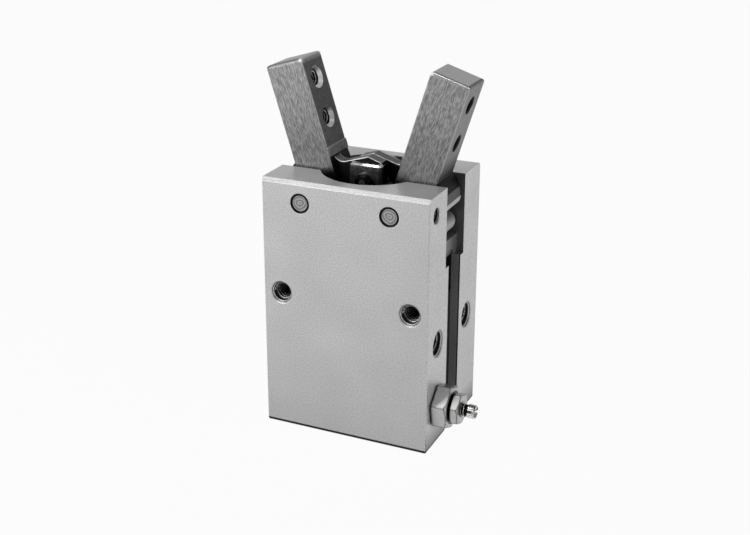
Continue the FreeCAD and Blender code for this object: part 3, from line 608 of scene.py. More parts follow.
# Painted shade on the bar towards the hub, on the outer face and at the hub.
HUB_SHADE_TOP = 16.0 * MM
HUB_SHADE_FULL = 4.0 * MM
OUTER_SHADE_TOP = 10.0 * MM
OUTER_SHADE_FULL = 5.0 * MM
HUB_TOP = 4.6 * MM
HUB_FULL = 2.6 * MM
LIP_HEIGHT = 1.5 * MM
LIP_HALF_HEIGHT = 0.52 * MM
SHOULDER_HALF_HEIGHT = 1.0 * MM
HEEL_TOP = -0.9 * MM
HEEL_FULL = -2.9 * MM
ARM_EDGE_HIGHLIGHT = 0.32 * MM
LOWER_HOLE = 11.8 * MM
HOLE_PITCH = 7.0 * MM
# Painted shade in the holes, and a painted highlight on one side of their countersinks.
HOLE_SHADE_EDGE = 1.64 * MM
HOLE_SHADE_FULL = 1.5 * MM
SINK_ROOT = 1.38 * MM
SINK_EDGE = 1.97 * MM
LIT_SIDE_FROM = 0.2 * MM
LIT_SIDE_FULL = -1.4 * MM
THREAD_INSET = 0.45 * MM
GRIND_WIDTH = 0.1 * MM
GRIND_LENGTH = 0.8 * MM
GRIND_DEPTH = 0.015 * MM
GROUND_PALE = "#A0A0A1"
GROUND_DEEP = "#535354"
# Painted light: the tip's top and the outer face are paler.
TIP_LIGHT_PALE = "#CCCCCD"
OUTER_LIGHT_PALE = "#B4B4B5"
# Painted shade: the near black of arm, hub, holes and shaded faces; the pins' dark rims use it too.
SHADE_BLACK = "#1A1A1B"
# Painted highlights: the two pale colours below.
HIGHLIGHT_PALE = "#BCBCBD"
BRIGHT_HIGHLIGHT_PALE = "#F0F0F1"
# Painted highlight on the crests of the fingers' threads.
STEEL_CREST_HIGHLIGHT = "#EAEAEB"


def finger_holes(tree, axes):
    """Shares at the two holes: painted shade in them, and a painted highlight on one side of their inner
    countersinks.
    """
    height = add_node(
        tree, "ShaderNodeMath", {0: axes["Z"]}, {1: LOWER_HOLE - 0.49 * HOLE_PITCH},
        operation="MAXIMUM").outputs[0]
    off_hole = add_node(
        tree, "ShaderNodeMath", {0: height},
        {1: LOWER_HOLE + HOLE_PITCH / 2, 2: LOWER_HOLE - HOLE_PITCH / 2}, operation="WRAP").outputs[0]
    off_hole = add_node(
        tree, "ShaderNodeMath", {0: off_hole}, {1: LOWER_HOLE}, operation="SUBTRACT").outputs[0]
    from_hole = add_node(tree, "ShaderNodeCombineXYZ", {"X": off_hole, "Y": axes["Y"]}).outputs[0]
    from_hole = add_node(tree, "ShaderNodeVectorMath", {0: from_hole}, operation="LENGTH").outputs["Value"]
    hole = add_node(
        tree, "ShaderNodeMapRange", {"Value": from_hole},
        {"From Min": HOLE_SHADE_EDGE, "From Max": HOLE_SHADE_FULL}).outputs[0]
    # Painted highlight on one side of each inner countersink.
    sink_highlight = add_node(
        tree, "ShaderNodeMath", {0: from_hole},
        {1: (SINK_EDGE + SINK_ROOT) / 2, 2: (SINK_EDGE - SINK_ROOT) / 2}, operation="COMPARE").outputs[0]
    gripping_side = add_node(
        tree, "ShaderNodeMapRange", {"Value": axes["X"]},
        {"From Min": 2 * FADE, "From Max": -2 * FADE, "To Max": 0.8}).outputs[0]
    to_one_side = add_node(tree, "ShaderNodeMath", {0: off_hole, 1: axes["Y"]}, operation="ADD").outputs[0]
    lit_side = add_node(
        tree, "ShaderNodeMapRange", {"Value": to_one_side},
        {"From Min": LIT_SIDE_FROM, "From Max": LIT_SIDE_FULL, "To Min": 0.1, "To Max": 1.25}).outputs[0]
    for part in (gripping_side, lit_side):
        sink_highlight = add_node(tree, "ShaderNodeMath", {0: sink_highlight, 1: part}, operation="MULTIPLY").outputs[0]
    return hole, sink_highlight


def finger_shade(tree, axes, tip, inside, outer):
    """Share of painted shade on the bar: growing towards the hub, more on the inner face, less on its band
    and below the tip, and some on the outer rounding of the tip.
    """
    grip_shade = add_node(
        tree, "ShaderNodeMapRange", {"Value": axes["Z"]},
        {"From Min": BAND_BOTTOM, "From Max": BAND_BOTTOM - FADE, "To Min": 0.62, "To Max": 1.0}).outputs[0]
    # Painted light: a paler band on the inner face below the tip.
    below_lit_band = add_node(
        tree, "ShaderNodeMapRange", {"Value": axes["Z"]},
        {"From Min": LIT_BAND_FROM, "From Max": LIT_BAND_FROM + 2 * FADE, "To Min": 1.0, "To Max": 0.4}
    ).outputs[0]
    band = add_node(
        tree, "ShaderNodeMath", {0: axes["Z"]},
        {1: (BAND_TOP + BAND_BOTTOM) / 2, 2: (BAND_TOP - BAND_BOTTOM) / 2}, operation="COMPARE").outputs[0]
    off_band = add_node(
        tree, "ShaderNodeMapRange", {"Value": band}, {"To Min": 1.0, "To Max": 0.7}).outputs[0]
    for part in (inside, below_lit_band, off_band):
        grip_shade = add_node(tree, "ShaderNodeMath", {0: grip_shade, 1: part}, operation="MULTIPLY").outputs[0]
    towards_hub = add_node(
        tree, "ShaderNodeMapRange", {"Value": axes["Z"]},
        {"From Min": OUTER_SHADE_TOP, "From Max": OUTER_SHADE_FULL, "To Min": 0.04, "To Max": 0.95}).outputs[0]
    outer_shade = add_node(tree, "ShaderNodeMath", {0: outer, 1: towards_hub}, operation="MULTIPLY").outputs[0]
    rolled = add_node(
        tree, "ShaderNodeMapRange", {"Value": axes["X"]},
        {"From Min": OUTER_FACE - TIP_ROUNDING, "From Max": OUTER_FACE - 0.75 * TIP_ROUNDING, "To Max": 0.65}
    ).outputs[0]
    rolled = add_node(tree, "ShaderNodeMath", {0: rolled, 1: tip}, operation="MULTIPLY").outputs[0]
    hub = add_node(
        tree, "ShaderNodeMapRange", {"Value": axes["Z"]},
        {"From Min": HUB_TOP, "From Max": HUB_FULL}).outputs[0]
    shade_share = add_node(
        tree, "ShaderNodeMapRange", {"Value": axes["Z"]},
        {"From Min": HUB_SHADE_TOP, "From Max": HUB_SHADE_FULL, "To Max": 0.36}).outputs[0]
    for part in (grip_shade, outer_shade, rolled, hub):
        shade_share = add_node(tree, "ShaderNodeMath", {0: shade_share, 1: part}, operation="MAXIMUM").outputs[0]
    return shade_share


def heel_highlights(tree, axes, strokes, outside):
    """Share of painted highlight on the hub's outer side: its lip, its heel and faint strokes on the
    shoulder.
    """
    highlight_share = add_node(
        tree, "ShaderNodeMath", {0: axes["Z"]}, {1: LIP_HEIGHT, 2: LIP_HALF_HEIGHT},
        operation="COMPARE").outputs[0]
    heel = add_node(
        tree, "ShaderNodeMapRange", {"Value": axes["Z"]},
        {"From Min": HEEL_TOP, "From Max": HEEL_FULL, "To Max": 0.9}).outputs[0]
    shoulder = add_node(
        tree, "ShaderNodeMath", {0: axes["Z"]},
        {1: LIP_HEIGHT + SHOULDER_HALF_HEIGHT, 2: SHOULDER_HALF_HEIGHT}, operation="COMPARE").outputs[0]
    shoulder = add_node(tree, "ShaderNodeMath", {0: shoulder, 1: strokes}, operation="MULTIPLY").outputs[0]
    shoulder = add_node(tree, "ShaderNodeMath", {0: shoulder}, {1: 0.4}, operation="MULTIPLY").outputs[0]
    for part in (heel, shoulder):
        highlight_share = add_node(tree, "ShaderNodeMath", {0: highlight_share, 1: part}, operation="MAXIMUM").outputs[0]
    return add_node(tree, "ShaderNodeMath", {0: highlight_share, 1: outside}, operation="MULTIPLY").outputs[0]


def bar_highlights(tree, axes, off_middle, inside, arm):
    """Share of painted highlight on the bar's long corners and the band's upper edge, and of painted light on
    the arm's upward faces.
    """
    at_side = add_node(
        tree, "ShaderNodeMapRange", {"Value": off_middle},
        {"From Min": BAR_HALF_DEPTH - CORNER_WIDTH, "From Max": BAR_HALF_DEPTH - CORNER_WIDTH / 2,
         "To Max": 0.5}).outputs[0]
    at_inner = add_node(
        tree, "ShaderNodeMapRange", {"Value": axes["X"]},
        {"From Min": INNER_FACE + CORNER_WIDTH, "From Max": INNER_FACE + CORNER_WIDTH / 2}).outputs[0]
    at_outer = add_node(
        tree, "ShaderNodeMapRange", {"Value": axes["X"]},
        {"From Min": OUTER_FACE - CORNER_WIDTH, "From Max": OUTER_FACE - CORNER_WIDTH / 2}).outputs[0]
    off_hub = add_node(
        tree, "ShaderNodeMapRange", {"Value": axes["Z"]},
        {"From Min": CORNERS_END, "From Max": CORNERS_FROM}).outputs[0]
    corner = add_node(tree, "ShaderNodeMath", {0: at_inner, 1: at_outer}, operation="MAXIMUM").outputs[0]
    for part in (at_side, off_hub):
        corner = add_node(tree, "ShaderNodeMath", {0: corner, 1: part}, operation="MULTIPLY").outputs[0]
    band_highlight = add_node(
        tree, "ShaderNodeMath", {0: axes["Z"]}, {1: BAND_TOP, 2: BAND_LINE}, operation="COMPARE").outputs[0]
    band_highlight = add_node(tree, "ShaderNodeMath", {0: band_highlight, 1: inside}, operation="MULTIPLY").outputs[0]
    band_highlight = add_node(tree, "ShaderNodeMath", {0: band_highlight}, {1: 0.6}, operation="MULTIPLY").outputs[0]
    # Painted light: the arm's upward faces are paler.
    facing = add_node(tree, "ShaderNodeTexCoord").outputs["Normal"]
    facing = add_node(tree, "ShaderNodeSeparateXYZ", {0: facing}).outputs["Z"]
    arm_top_light = add_node(
        tree, "ShaderNodeMapRange", {"Value": facing},
        {"From Min": 0.6, "From Max": 0.8, "To Max": 0.38}).outputs[0]
    highlight_share = add_node(tree, "ShaderNodeMath", {0: arm_top_light, 1: arm}, operation="MULTIPLY").outputs[0]
    for part in (corner, band_highlight):
        highlight_share = add_node(tree, "ShaderNodeMath", {0: highlight_share, 1: part}, operation="MAXIMUM").outputs[0]
    return highlight_share


def finger_steel(name, turn, tip_highlight):
    """Ground tool steel: short strokes along the bar, drawn wide enough to show, painted black with shade at
    arm and hub.

    Edges and corners carry painted highlights, the tip's top and the outer face are painted paler, and the
    gripping face is painted darker with shade. The given share of painted highlight shows in a line along the
    front and rear edges of the tip."""
    finish, tree, shader = new_finish(name, metallic=0.6, roughness=0.36)
    shader.inputs["Specular Tint"].default_value = (0.2, 0.2, 0.2, 1)
    shader.inputs["Specular IOR Level"].default_value = 0.2
    place = add_node(tree, "ShaderNodeTexCoord").outputs["Object"]
    along = add_node(
        tree, "ShaderNodeMapping", {"Vector": place},
        {"Location": (math.cos(turn) * PIVOT_X, 0, PIVOT_Z), "Rotation": (0, OPEN_TILT, turn)},
        vector_type="TEXTURE").outputs[0]
    axes = add_node(tree, "ShaderNodeSeparateXYZ", {0: along}).outputs
    off_middle = add_node(tree, "ShaderNodeMath", {0: axes["Y"]}, operation="ABSOLUTE").outputs[0]
    tip = add_node(
        tree, "ShaderNodeMapRange", {"Value": axes["Z"]},
        {"From Min": TIP_START, "From Max": TIP_END}).outputs[0]
    inside = add_node(
        tree, "ShaderNodeMapRange", {"Value": axes["X"]},
        {"From Min": INNER_FACE + 2 * FADE, "From Max": INNER_FACE + FADE}).outputs[0]
    outer = add_node(
        tree, "ShaderNodeMapRange", {"Value": axes["X"]},
        {"From Min": OUTER_FACE - 2 * FADE, "From Max": OUTER_FACE - FADE}).outputs[0]
    arm = add_node(
        tree, "ShaderNodeMapRange", {"Value": axes["X"]},
        {"From Min": ARM_FROM, "From Max": ARM_FULL}).outputs[0]
    outside = add_node(
        tree, "ShaderNodeMapRange", {"Value": axes["X"]},
        {"From Min": HUB_SIDE_FROM, "From Max": HUB_SIDE_FULL}).outputs[0]
    hole, sink_highlight = finger_holes(tree, axes)

    stretched = add_node(
        tree, "ShaderNodeVectorMath", {0: along}, {1: (1 / GRIND_WIDTH, 1 / GRIND_WIDTH, 1 / GRIND_LENGTH)},
        operation="MULTIPLY").outputs[0]
    strokes = add_node(
        tree, "ShaderNodeTexNoise", {"Vector": stretched}, {"Scale": 1.0, "Detail": 3.0}).outputs["Fac"]
    tone = add_node(
        tree, "ShaderNodeMapRange", {"Value": strokes}, {"From Min": 0.3, "From Max": 0.7}).outputs[0]
    ground = add_node(
        tree, "ShaderNodeMix", {0: tone}, {6: linear(GROUND_DEEP), 7: linear(GROUND_PALE)},
        data_type="RGBA").outputs[2]
    # Painted light: the tip's flat top and the outer face are paler.
    flat_tip = add_node(
        tree, "ShaderNodeMapRange", {"Value": off_middle},
        {"From Min": BAR_HALF_DEPTH - 0.75 * TIP_ROUNDING, "From Max": BAR_HALF_DEPTH - TIP_ROUNDING}
    ).outputs[0]
    flat_tip = add_node(tree, "ShaderNodeMath", {0: flat_tip, 1: tip}, operation="MULTIPLY").outputs[0]
    ground = add_node(
        tree, "ShaderNodeMix", {0: flat_tip, 6: ground}, {7: linear(TIP_LIGHT_PALE)}, data_type="RGBA").outputs[2]
    outer_light = add_node(tree, "ShaderNodeMath", {0: outer}, {1: 0.5}, operation="MULTIPLY").outputs[0]
    ground = add_node(
        tree, "ShaderNodeMix", {0: outer_light, 6: ground}, {7: linear(OUTER_LIGHT_PALE)}, data_type="RGBA").outputs[2]

    # Painted shade: the faces towards the hub, the arm, the hub's outer side and the holes are darkened.
    shade_share = finger_shade(tree, axes, tip, inside, outer)
    for part in (arm, outside, hole):
        shade_share = add_node(tree, "ShaderNodeMath", {0: shade_share, 1: part}, operation="MAXIMUM").outputs[0]
    heel = heel_highlights(tree, axes, strokes, outside)
    heel = add_node(tree, "ShaderNodeMath", {0: heel, 1: sink_highlight}, operation="MAXIMUM").outputs[0]
    # Painted highlight: a line along the tip's front and rear edges.
    tip_highlight_line = add_node(
        tree, "ShaderNodeMath", {0: off_middle},
        {1: BAR_HALF_DEPTH - 0.35 * TIP_ROUNDING, 2: 0.2 * TIP_ROUNDING}, operation="COMPARE").outputs[0]
    tip_highlight_line = add_node(tree, "ShaderNodeMath", {0: tip_highlight_line, 1: tip}, operation="MULTIPLY").outputs[0]
    tip_highlight_line = add_node(
        tree, "ShaderNodeMath", {0: tip_highlight_line}, {1: tip_highlight}, operation="MULTIPLY").outputs[0]
    highlight_share = bar_highlights(tree, axes, off_middle, inside, arm)
    for part in (tip_highlight_line, heel):
        highlight_share = add_node(tree, "ShaderNodeMath", {0: highlight_share, 1: part}, operation="MAXIMUM").outputs[0]
    folded = add_node(
        tree, "ShaderNodeCombineXYZ", {"X": axes["X"], "Y": off_middle, "Z": axes["Z"]}).outputs[0]
    from_corner = add_node(
        tree, "ShaderNodeVectorMath", {0: folded}, {1: (INNER_FACE, BAR_HALF_DEPTH, BAR_TOP)},
        operation="DISTANCE").outputs["Value"]
    # Painted highlights at the tip's inner corner and along the arm's edges.
    tip_corner_highlight = add_node(
        tree, "ShaderNodeMapRange", {"Value": from_corner},
        {"From Min": TIP_CORNER_EDGE, "From Max": TIP_CORNER_FULL, "To Max": 0.6}).outputs[0]
    arm_edge_highlight = add_node(
        tree, "ShaderNodeMath", {0: arm, 1: sharp_edge_share(tree, ARM_EDGE_HIGHLIGHT)}, operation="MULTIPLY").outputs[0]
    bright_highlight = sink_highlight
    for part in (arm_edge_highlight, tip_corner_highlight):
        bright_highlight = add_node(tree, "ShaderNodeMath", {0: bright_highlight, 1: part}, operation="MAXIMUM").outputs[0]

    colour = ground
    for share, tone in ((shade_share, SHADE_BLACK), (highlight_share, HIGHLIGHT_PALE), (bright_highlight, BRIGHT_HIGHLIGHT_PALE)):
        colour = add_node(
            tree, "ShaderNodeMix", {0: share, 6: colour}, {7: linear(tone)}, data_type="RGBA").outputs[2]
    tree.links.new(colour, shader.inputs["Base Color"])
    metallic = add_node(
        tree, "ShaderNodeMapRange", {"Value": heel}, {"To Min": 0.6, "To Max": 0.15}).outputs[0]
    tree.links.new(metallic, shader.inputs["Metallic"])
    rough = add_node(tree, "ShaderNodeMapRange", {"Value": tip}, {"To Min": 0.36, "To Max": 0.6}).outputs[0]
    rough = add_node(tree, "ShaderNodeMix", {0: tip_highlight_line, 2: rough}, {3: 0.25}).outputs[0]
    tree.links.new(rough, shader.inputs["Roughness"])
    relief = add_node(
        tree, "ShaderNodeBump", {"Height": strokes, "Normal": soft_edges(tree, FINGER_EDGE)},
        {"Strength": 0.3, "Distance": GRIND_DEPTH}).outputs[0]
    tree.links.new(relief, shader.inputs["Normal"])
    return finish


tapped_steel = tapped("tapped_steel", THREAD_SHADE, STEEL_CREST_HIGHLIGHT, metallic=0.3, roughness=0.4, bright_from=0.2)
m3 = helical_ridge(
    "m3_ridge", root_radius=1.25 * MM + SUNK_IN_WALL, crest_radius=1.07 * MM, pitch=0.5 * MM, turns=11)
for finger, turn, tip_highlight in (("right_finger", 0.0, 1.0), ("left_finger", math.pi, 0.0)):
    give_finish(finger_steel("ground_steel_of_" + finger, turn, tip_highlight), finger)
    pose = (Matrix.Rotation(turn, 4, "Z") @ Matrix.Translation((PIVOT_X, 0, PIVOT_Z))
            @ Matrix.Rotation(OPEN_TILT, 4, "Y"))
    for level, height in (("upper", LOWER_HOLE + HOLE_PITCH), ("lower", LOWER_HOLE)):
        mouth = pose @ Vector((INNER_FACE + THREAD_INSET, 0, height))
        inward = pose.to_3x3() @ Vector((1, 0, 0))
        set_in_hole(m3, finger + "_thread_" + level, mouth, inward, tapped_steel, finger)
bpy.data.objects.remove(m3)


# Pivot pins and the clevis pin: ground steel pins with faced ends that keep the rings of the turning tool.
# A blackened headless screw in each side face holds its pivot pin.
RING_PITCH = 0.55 * MM
RING_DEPTH = 0.03 * MM
RINGS_PER_UNIT = 20 / (2 * math.pi)
RIM_SHADE_WIDTH = 0.1 * MM
PIVOT_PALE = "#9E9E9F"
PIVOT_DEEP = "#6E6E6F"
CLEVIS_PIN_PALE = "#B0B0B1"
CLEVIS_PIN_DEEP = "#1A1A1B"


def faced_steel(name, centre_x, centre_z, pale, deep, edge_radius):
    """Turned steel: uneven rings round the pin's middle, drawn coarse enough to show, and a ring of painted
    shade at its edge.
    """
    finish, tree, shader = new_finish(name, metallic=1.0, roughness=0.3)
    place = add_node(tree, "ShaderNodeTexCoord").outputs["Object"]
    axes = add_node(tree, "ShaderNodeSeparateXYZ", {0: place}).outputs
    off_side = add_node(tree, "ShaderNodeMath", {0: axes["X"]}, operation="ABSOLUTE").outputs[0]
    off_side = add_node(tree, "ShaderNodeMath", {0: off_side}, {1: centre_x}, operation="SUBTRACT").outputs[0]
    off_height = add_node(
        tree, "ShaderNodeMath", {0: axes["Z"]}, {1: centre_z}, operation="SUBTRACT").outputs[0]
    centred = add_node(tree, "ShaderNodeCombineXYZ", {"X": off_side, "Z": off_height}).outputs[0]
    rings = add_node(
        tree, "ShaderNodeTexWave", {"Vector": centred},
        {"Scale": 1 / (RINGS_PER_UNIT * RING_PITCH), "Distortion": 6.0, "Detail": 1.0, "Detail Scale": 1.1},
        wave_type="RINGS", rings_direction="Y").outputs["Fac"]
    ringed = add_node(
        tree, "ShaderNodeMix", {0: rings}, {6: linear(deep), 7: linear(pale)}, data_type="RGBA").outputs[2]
    radius = add_node(tree, "ShaderNodeVectorMath", {0: centred}, operation="LENGTH").outputs["Value"]
    # Painted shade: a dark ring round the pin's edge.
    rim_shade = add_node(
        tree, "ShaderNodeMapRange", {"Value": radius},
        {"From Min": edge_radius, "From Max": edge_radius + RIM_SHADE_WIDTH}).outputs[0]
    colour = add_node(
        tree, "ShaderNodeMix", {0: rim_shade, 6: ringed}, {7: linear(SHADE_BLACK)}, data_type="RGBA").outputs[2]
    tree.links.new(colour, shader.inputs["Base Color"])
    relief = add_node(
        tree, "ShaderNodeBump", {"Height": rings}, {"Strength": 0.5, "Distance": RING_DEPTH}).outputs[0]
    tree.links.new(relief, shader.inputs["Normal"])
    return finish


pivot_steel = faced_steel(
    "faced_pivot_steel", PIVOT_X, PIVOT_Z, PIVOT_PALE, PIVOT_DEEP, edge_radius=1.3 * MM)
clevis_pin_steel = faced_steel(
    "faced_clevis_pin_steel", 0.0, CLEVIS_PIN_Z, CLEVIS_PIN_PALE, CLEVIS_PIN_DEEP, edge_radius=0.72 * MM)
give_finish(pivot_steel, "left_pivot_pin", "right_pivot_pin")
give_finish(clevis_pin_steel, "joint_pin")
give_finish(blackened, "left_set_screw", "right_set_screw")


# Flow control valve: hexagon, lock nut and needle turned from brass and nickel plated.
# The hexagon clamps a thin gasket against the block, and the nut locks the threaded, slotted needle.
# The needle's stages are places along the valve's axis with their radii, in millimetres.
VALVE_AXIS = Vector((0, -6.8 * MM, 7.3 * MM))
NUT_SEAT = 18.25 * MM
SEAT_RADIUS = 2.95 * MM
PLATE_PALE = "#BEBEBD"
PLATE_DEEP = "#9A9A9A"
# Painted shade: dark lines along the plated edges, and the dark seat between hexagon and nut.
PLATE_EDGE_SHADE = "#1C1C1C"
PLATE_SPECKS = 0.5 * MM
PLATE_DEPTH = 0.003 * MM
PLATE_EDGE = 0.2 * MM
EDGE_SHADE_WIDTH = 0.5 * MM
EDGE_SHADE_START = 0.997
SEAT_SHADE = "#141414"
# Painted shade in the needle's slot and thread roots.
NEEDLE_SHADE = "#121212"
NEEDLE_PLATE = "#D6D6D4"
NEEDLE_SEGMENTS = 48
NEEDLE_STAGES = (
    (8.9, 0.3), (10.9, 1.0), (12.7, 1.0), (12.9, 1.25), (13.8, 1.25), (13.81, 0.72), (14.49, 0.72),
    (14.5, 1.25), (18.4, 1.25), (18.6, 1.0), (21.0, 1.0), (21.2, 1.25), (22.25, 1.25), (22.45, 1.05))
NEEDLE_CREST = 1.25 * MM
NEEDLE_ROOT = 1.0 * MM
NEEDLE_PITCH = 0.45 * MM
NEEDLE_TURNS = 4
NEEDLE_LIT_TURNS = 100
THREAD_START = 18.75 * MM
SLOT_DEPTH = 1.2 * MM
SLOT_WIDTH = 0.5 * MM
SLOT_TURN = math.radians(-18)


def plated_brass(name, dark_start, dark_end):
    """Nickel plate on turned brass: bright and smooth with faint specks.

    Painted dark lines of shade run along its edges, and painted shade sits between hexagon and nut."""
    finish, tree, shader = new_finish(name, metallic=1.0, roughness=0.34)
    place = add_node(tree, "ShaderNodeTexCoord").outputs["Object"]
    specks = add_node(
        tree, "ShaderNodeTexNoise", {"Vector": place},
        {"Scale": 1 / PLATE_SPECKS, "Detail": 4.0}).outputs["Fac"]
    plate = add_node(
        tree, "ShaderNodeMix", {0: specks}, {6: linear(PLATE_DEEP), 7: linear(PLATE_PALE)},
        data_type="RGBA").outputs[2]
    # Painted shade: dark lines along the edges.
    edge_shade_lines = sharp_edge_share(tree, EDGE_SHADE_WIDTH, EDGE_SHADE_START)
    plate = add_node(
        tree, "ShaderNodeMix", {0: edge_shade_lines, 6: plate}, {7: linear(PLATE_EDGE_SHADE)}, data_type="RGBA").outputs[2]
    along = add_node(tree, "ShaderNodeSeparateXYZ", {0: place}).outputs["X"]
    # Painted shade between hexagon and nut.
    past = add_node(tree, "ShaderNodeMath", {0: along}, {1: dark_start}, operation="GREATER_THAN").outputs[0]
    before = add_node(tree, "ShaderNodeMath", {0: along}, {1: dark_end}, operation="LESS_THAN").outputs[0]
    near = add_node(
        tree, "ShaderNodeMath", {0: distance_to_axis(tree, place, VALVE_AXIS, (0, 1, 1))}, {1: SEAT_RADIUS},
        operation="LESS_THAN").outputs[0]
    dark = near
    for part in (past, before):
        dark = add_node(tree, "ShaderNodeMath", {0: dark, 1: part}, operation="MULTIPLY").outputs[0]
    colour = add_node(
        tree, "ShaderNodeMix", {0: dark, 6: plate}, {7: linear(SEAT_SHADE)}, data_type="RGBA").outputs[2]
    tree.links.new(colour, shader.inputs["Base Color"])
    rough = add_node(
        tree, "ShaderNodeMapRange", {"Value": specks}, {"To Min": 0.3, "To Max": 0.4}).outputs[0]
    tree.links.new(rough, shader.inputs["Roughness"])
    relief = add_node(
        tree, "ShaderNodeBump", {"Height": specks, "Normal": soft_edges(tree, PLATE_EDGE)},
        {"Strength": 0.3, "Distance": PLATE_DEPTH}).outputs[0]
    tree.links.new(relief, shader.inputs["Normal"])
    return finish


hexagon_plate = plated_brass(
    "plated_brass_hexagon", dark_start=NUT_SEAT - 0.05 * MM, dark_end=NUT_SEAT + 0.1 * MM)
nut_plate = plated_brass("plated_brass_nut", dark_start=NUT_SEAT - 0.1 * MM, dark_end=NUT_SEAT + 0.3 * MM)
give_finish(hexagon_plate, "needle_valve_body")
give_finish(nut_plate, "needle_lock_nut")

bpy.ops.object.select_all(action="DESELECT")
first_x, first_radius = NEEDLE_STAGES[0]
bpy.ops.mesh.primitive_circle_add(
    vertices=NEEDLE_SEGMENTS, radius=first_radius * MM, fill_type="NGON", rotation=(0, math.pi / 2, 0),
    location=VALVE_AXIS + Vector((first_x * MM, 0, 0)))
bpy.ops.object.transform_apply(location=True, rotation=True)
needle = bpy.context.object
needle.name = "threaded_needle"
needle.data.name = "threaded_needle"
bpy.ops.object.mode_set(mode="EDIT")
bpy.ops.mesh.select_all(action="SELECT")
for (start_x, start_radius), (end_x, end_radius) in zip(NEEDLE_STAGES, NEEDLE_STAGES[1:]):
    bpy.ops.mesh.extrude_region_move(TRANSFORM_OT_translate={"value": ((end_x - start_x) * MM, 0, 0)})
    widening = end_radius / start_radius
    bpy.ops.transform.resize(value=(1, widening, widening))
bpy.ops.mesh.select_all(action="SELECT")
bpy.ops.mesh.normals_make_consistent(inside=False)
bpy.ops.object.mode_set(mode="OBJECT")

bpy.ops.object.select_all(action="DESELECT")
needle_end = NEEDLE_STAGES[-1][0] * MM
bpy.ops.mesh.primitive_cube_add(
    size=1, scale=(2 * SLOT_DEPTH, 4 * NEEDLE_CREST, SLOT_WIDTH), rotation=(SLOT_TURN, 0, 0),
    location=VALVE_AXIS + Vector((needle_end, 0, 0)))
slot_cutter = bpy.context.object
bpy.ops.object.select_all(action="DESELECT")
needle.select_set(True)
bpy.context.view_layer.objects.active = needle
sawn = needle.modifiers.new("screwdriver_slot", "BOOLEAN")
sawn.operation = "DIFFERENCE"
sawn.object = slot_cutter
bpy.ops.object.modifier_apply(modifier="screwdriver_slot")
bpy.data.objects.remove(slot_cutter)
bpy.ops.object.shade_smooth_by_angle(angle=math.radians(30))
# Painted shade: faces in the slot and at the thread's roots get no bright_crest and take the dark colour.
bright = needle.data.attributes.new("bright_crest", "FLOAT", "CORNER")
across_slot = Vector((0, -math.sin(SLOT_TURN), math.cos(SLOT_TURN)))
for face in needle.data.polygons:
    off_slot = abs((face.center - VALVE_AXIS).dot(across_slot))
    in_slot = face.center.x > needle_end - 1.1 * SLOT_DEPTH and off_slot < 0.51 * SLOT_WIDTH
    for corner in face.loop_indices:
        at = needle.data.vertices[needle.data.loops[corner].vertex_index].co - VALVE_AXIS
        bright.data[corner].value = 0.0 if in_slot or at.yz.length < NEEDLE_ROOT * 1.05 else 1.0

thread = helical_ridge(
    "needle_thread", NEEDLE_ROOT - SUNK_IN_WALL, NEEDLE_CREST, NEEDLE_PITCH, NEEDLE_TURNS, NEEDLE_LIT_TURNS)
along_valve = Vector((1, 0, 0)).to_track_quat("Z", "Y").to_matrix().to_4x4()
thread.data.transform(Matrix.Translation(VALVE_AXIS + Vector((THREAD_START, 0, 0))) @ along_valve)
thread.select_set(True)
needle.select_set(True)
bpy.context.view_layer.objects.active = needle
bpy.ops.object.join()
needle.data.materials.clear()
needle.data.materials.append(
    tapped("threaded_plated_brass", NEEDLE_SHADE, NEEDLE_PLATE, metallic=1.0, roughness=0.16))
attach(needle, "needle")
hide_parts("needle")


# Studio: a round white sweep of floor and low wall in a grey room, lit by soft boxes.
# They stand in front, at the right, above and behind. The sweep is white to the camera and to reflections,
# and keeps a faint shadow.
SWEEP_RADIUS = 3.0
SWEEP_HEIGHT = 0.9
SWEEP_SIDES = 96
SWEEP_GLOW = 0.96
PAPER_GREY = "#989898"
FLOOR_GAP = 0.2 * MM
ROOM_GREY = 0.12

bpy.ops.object.select_all(action="DESELECT")
bpy.ops.mesh.primitive_circle_add(vertices=SWEEP_SIDES, radius=SWEEP_RADIUS, fill_type="NGON")
sweep = bpy.context.object
sweep.name = "studio_sweep"
bpy.ops.object.mode_set(mode="EDIT")
bpy.ops.mesh.select_all(action="SELECT")
bpy.ops.mesh.region_to_loop()
bpy.ops.mesh.extrude_edges_move(TRANSFORM_OT_translate={"value": (0, 0, SWEEP_HEIGHT)})
bpy.ops.mesh.select_all(action="SELECT")
bpy.ops.transform.translate(value=(0, 0, -FLOOR_GAP))
bpy.ops.mesh.normals_make_consistent(inside=True)
bpy.ops.object.mode_set(mode="OBJECT")
paper, tree, shader = new_finish("white_paper", metallic=0.0, roughness=0.9)
shader.inputs["Base Color"].default_value = linear(PAPER_GREY)
path = add_node(tree, "ShaderNodeLightPath").outputs
glow = add_node(tree, "ShaderNodeEmission", values={"Color": (1, 1, 1, 1), "Strength": 1.0}).outputs[0]
seen = path["Is Camera Ray"]
for ray in ("Is Glossy Ray", "Is Transmission Ray"):
    seen = add_node(tree, "ShaderNodeMath", {0: seen, 1: path[ray]}, operation="MAXIMUM").outputs[0]
share = add_node(tree, "ShaderNodeMath", {0: seen}, {1: SWEEP_GLOW}, operation="MULTIPLY").outputs[0]
mixed = add_node(tree, "ShaderNodeMixShader", {0: share, 1: shader.outputs[0], 2: glow}).outputs[0]
below = add_node(tree, "ShaderNodeNewGeometry").outputs["Backfacing"]
clear = add_node(tree, "ShaderNodeBsdfTransparent").outputs[0]
mixed = add_node(tree, "ShaderNodeMixShader", {0: below, 1: mixed, 2: clear}).outputs[0]
tree.links.new(mixed, tree.nodes["Material Output"].inputs["Surface"])
sweep.data.materials.append(paper)

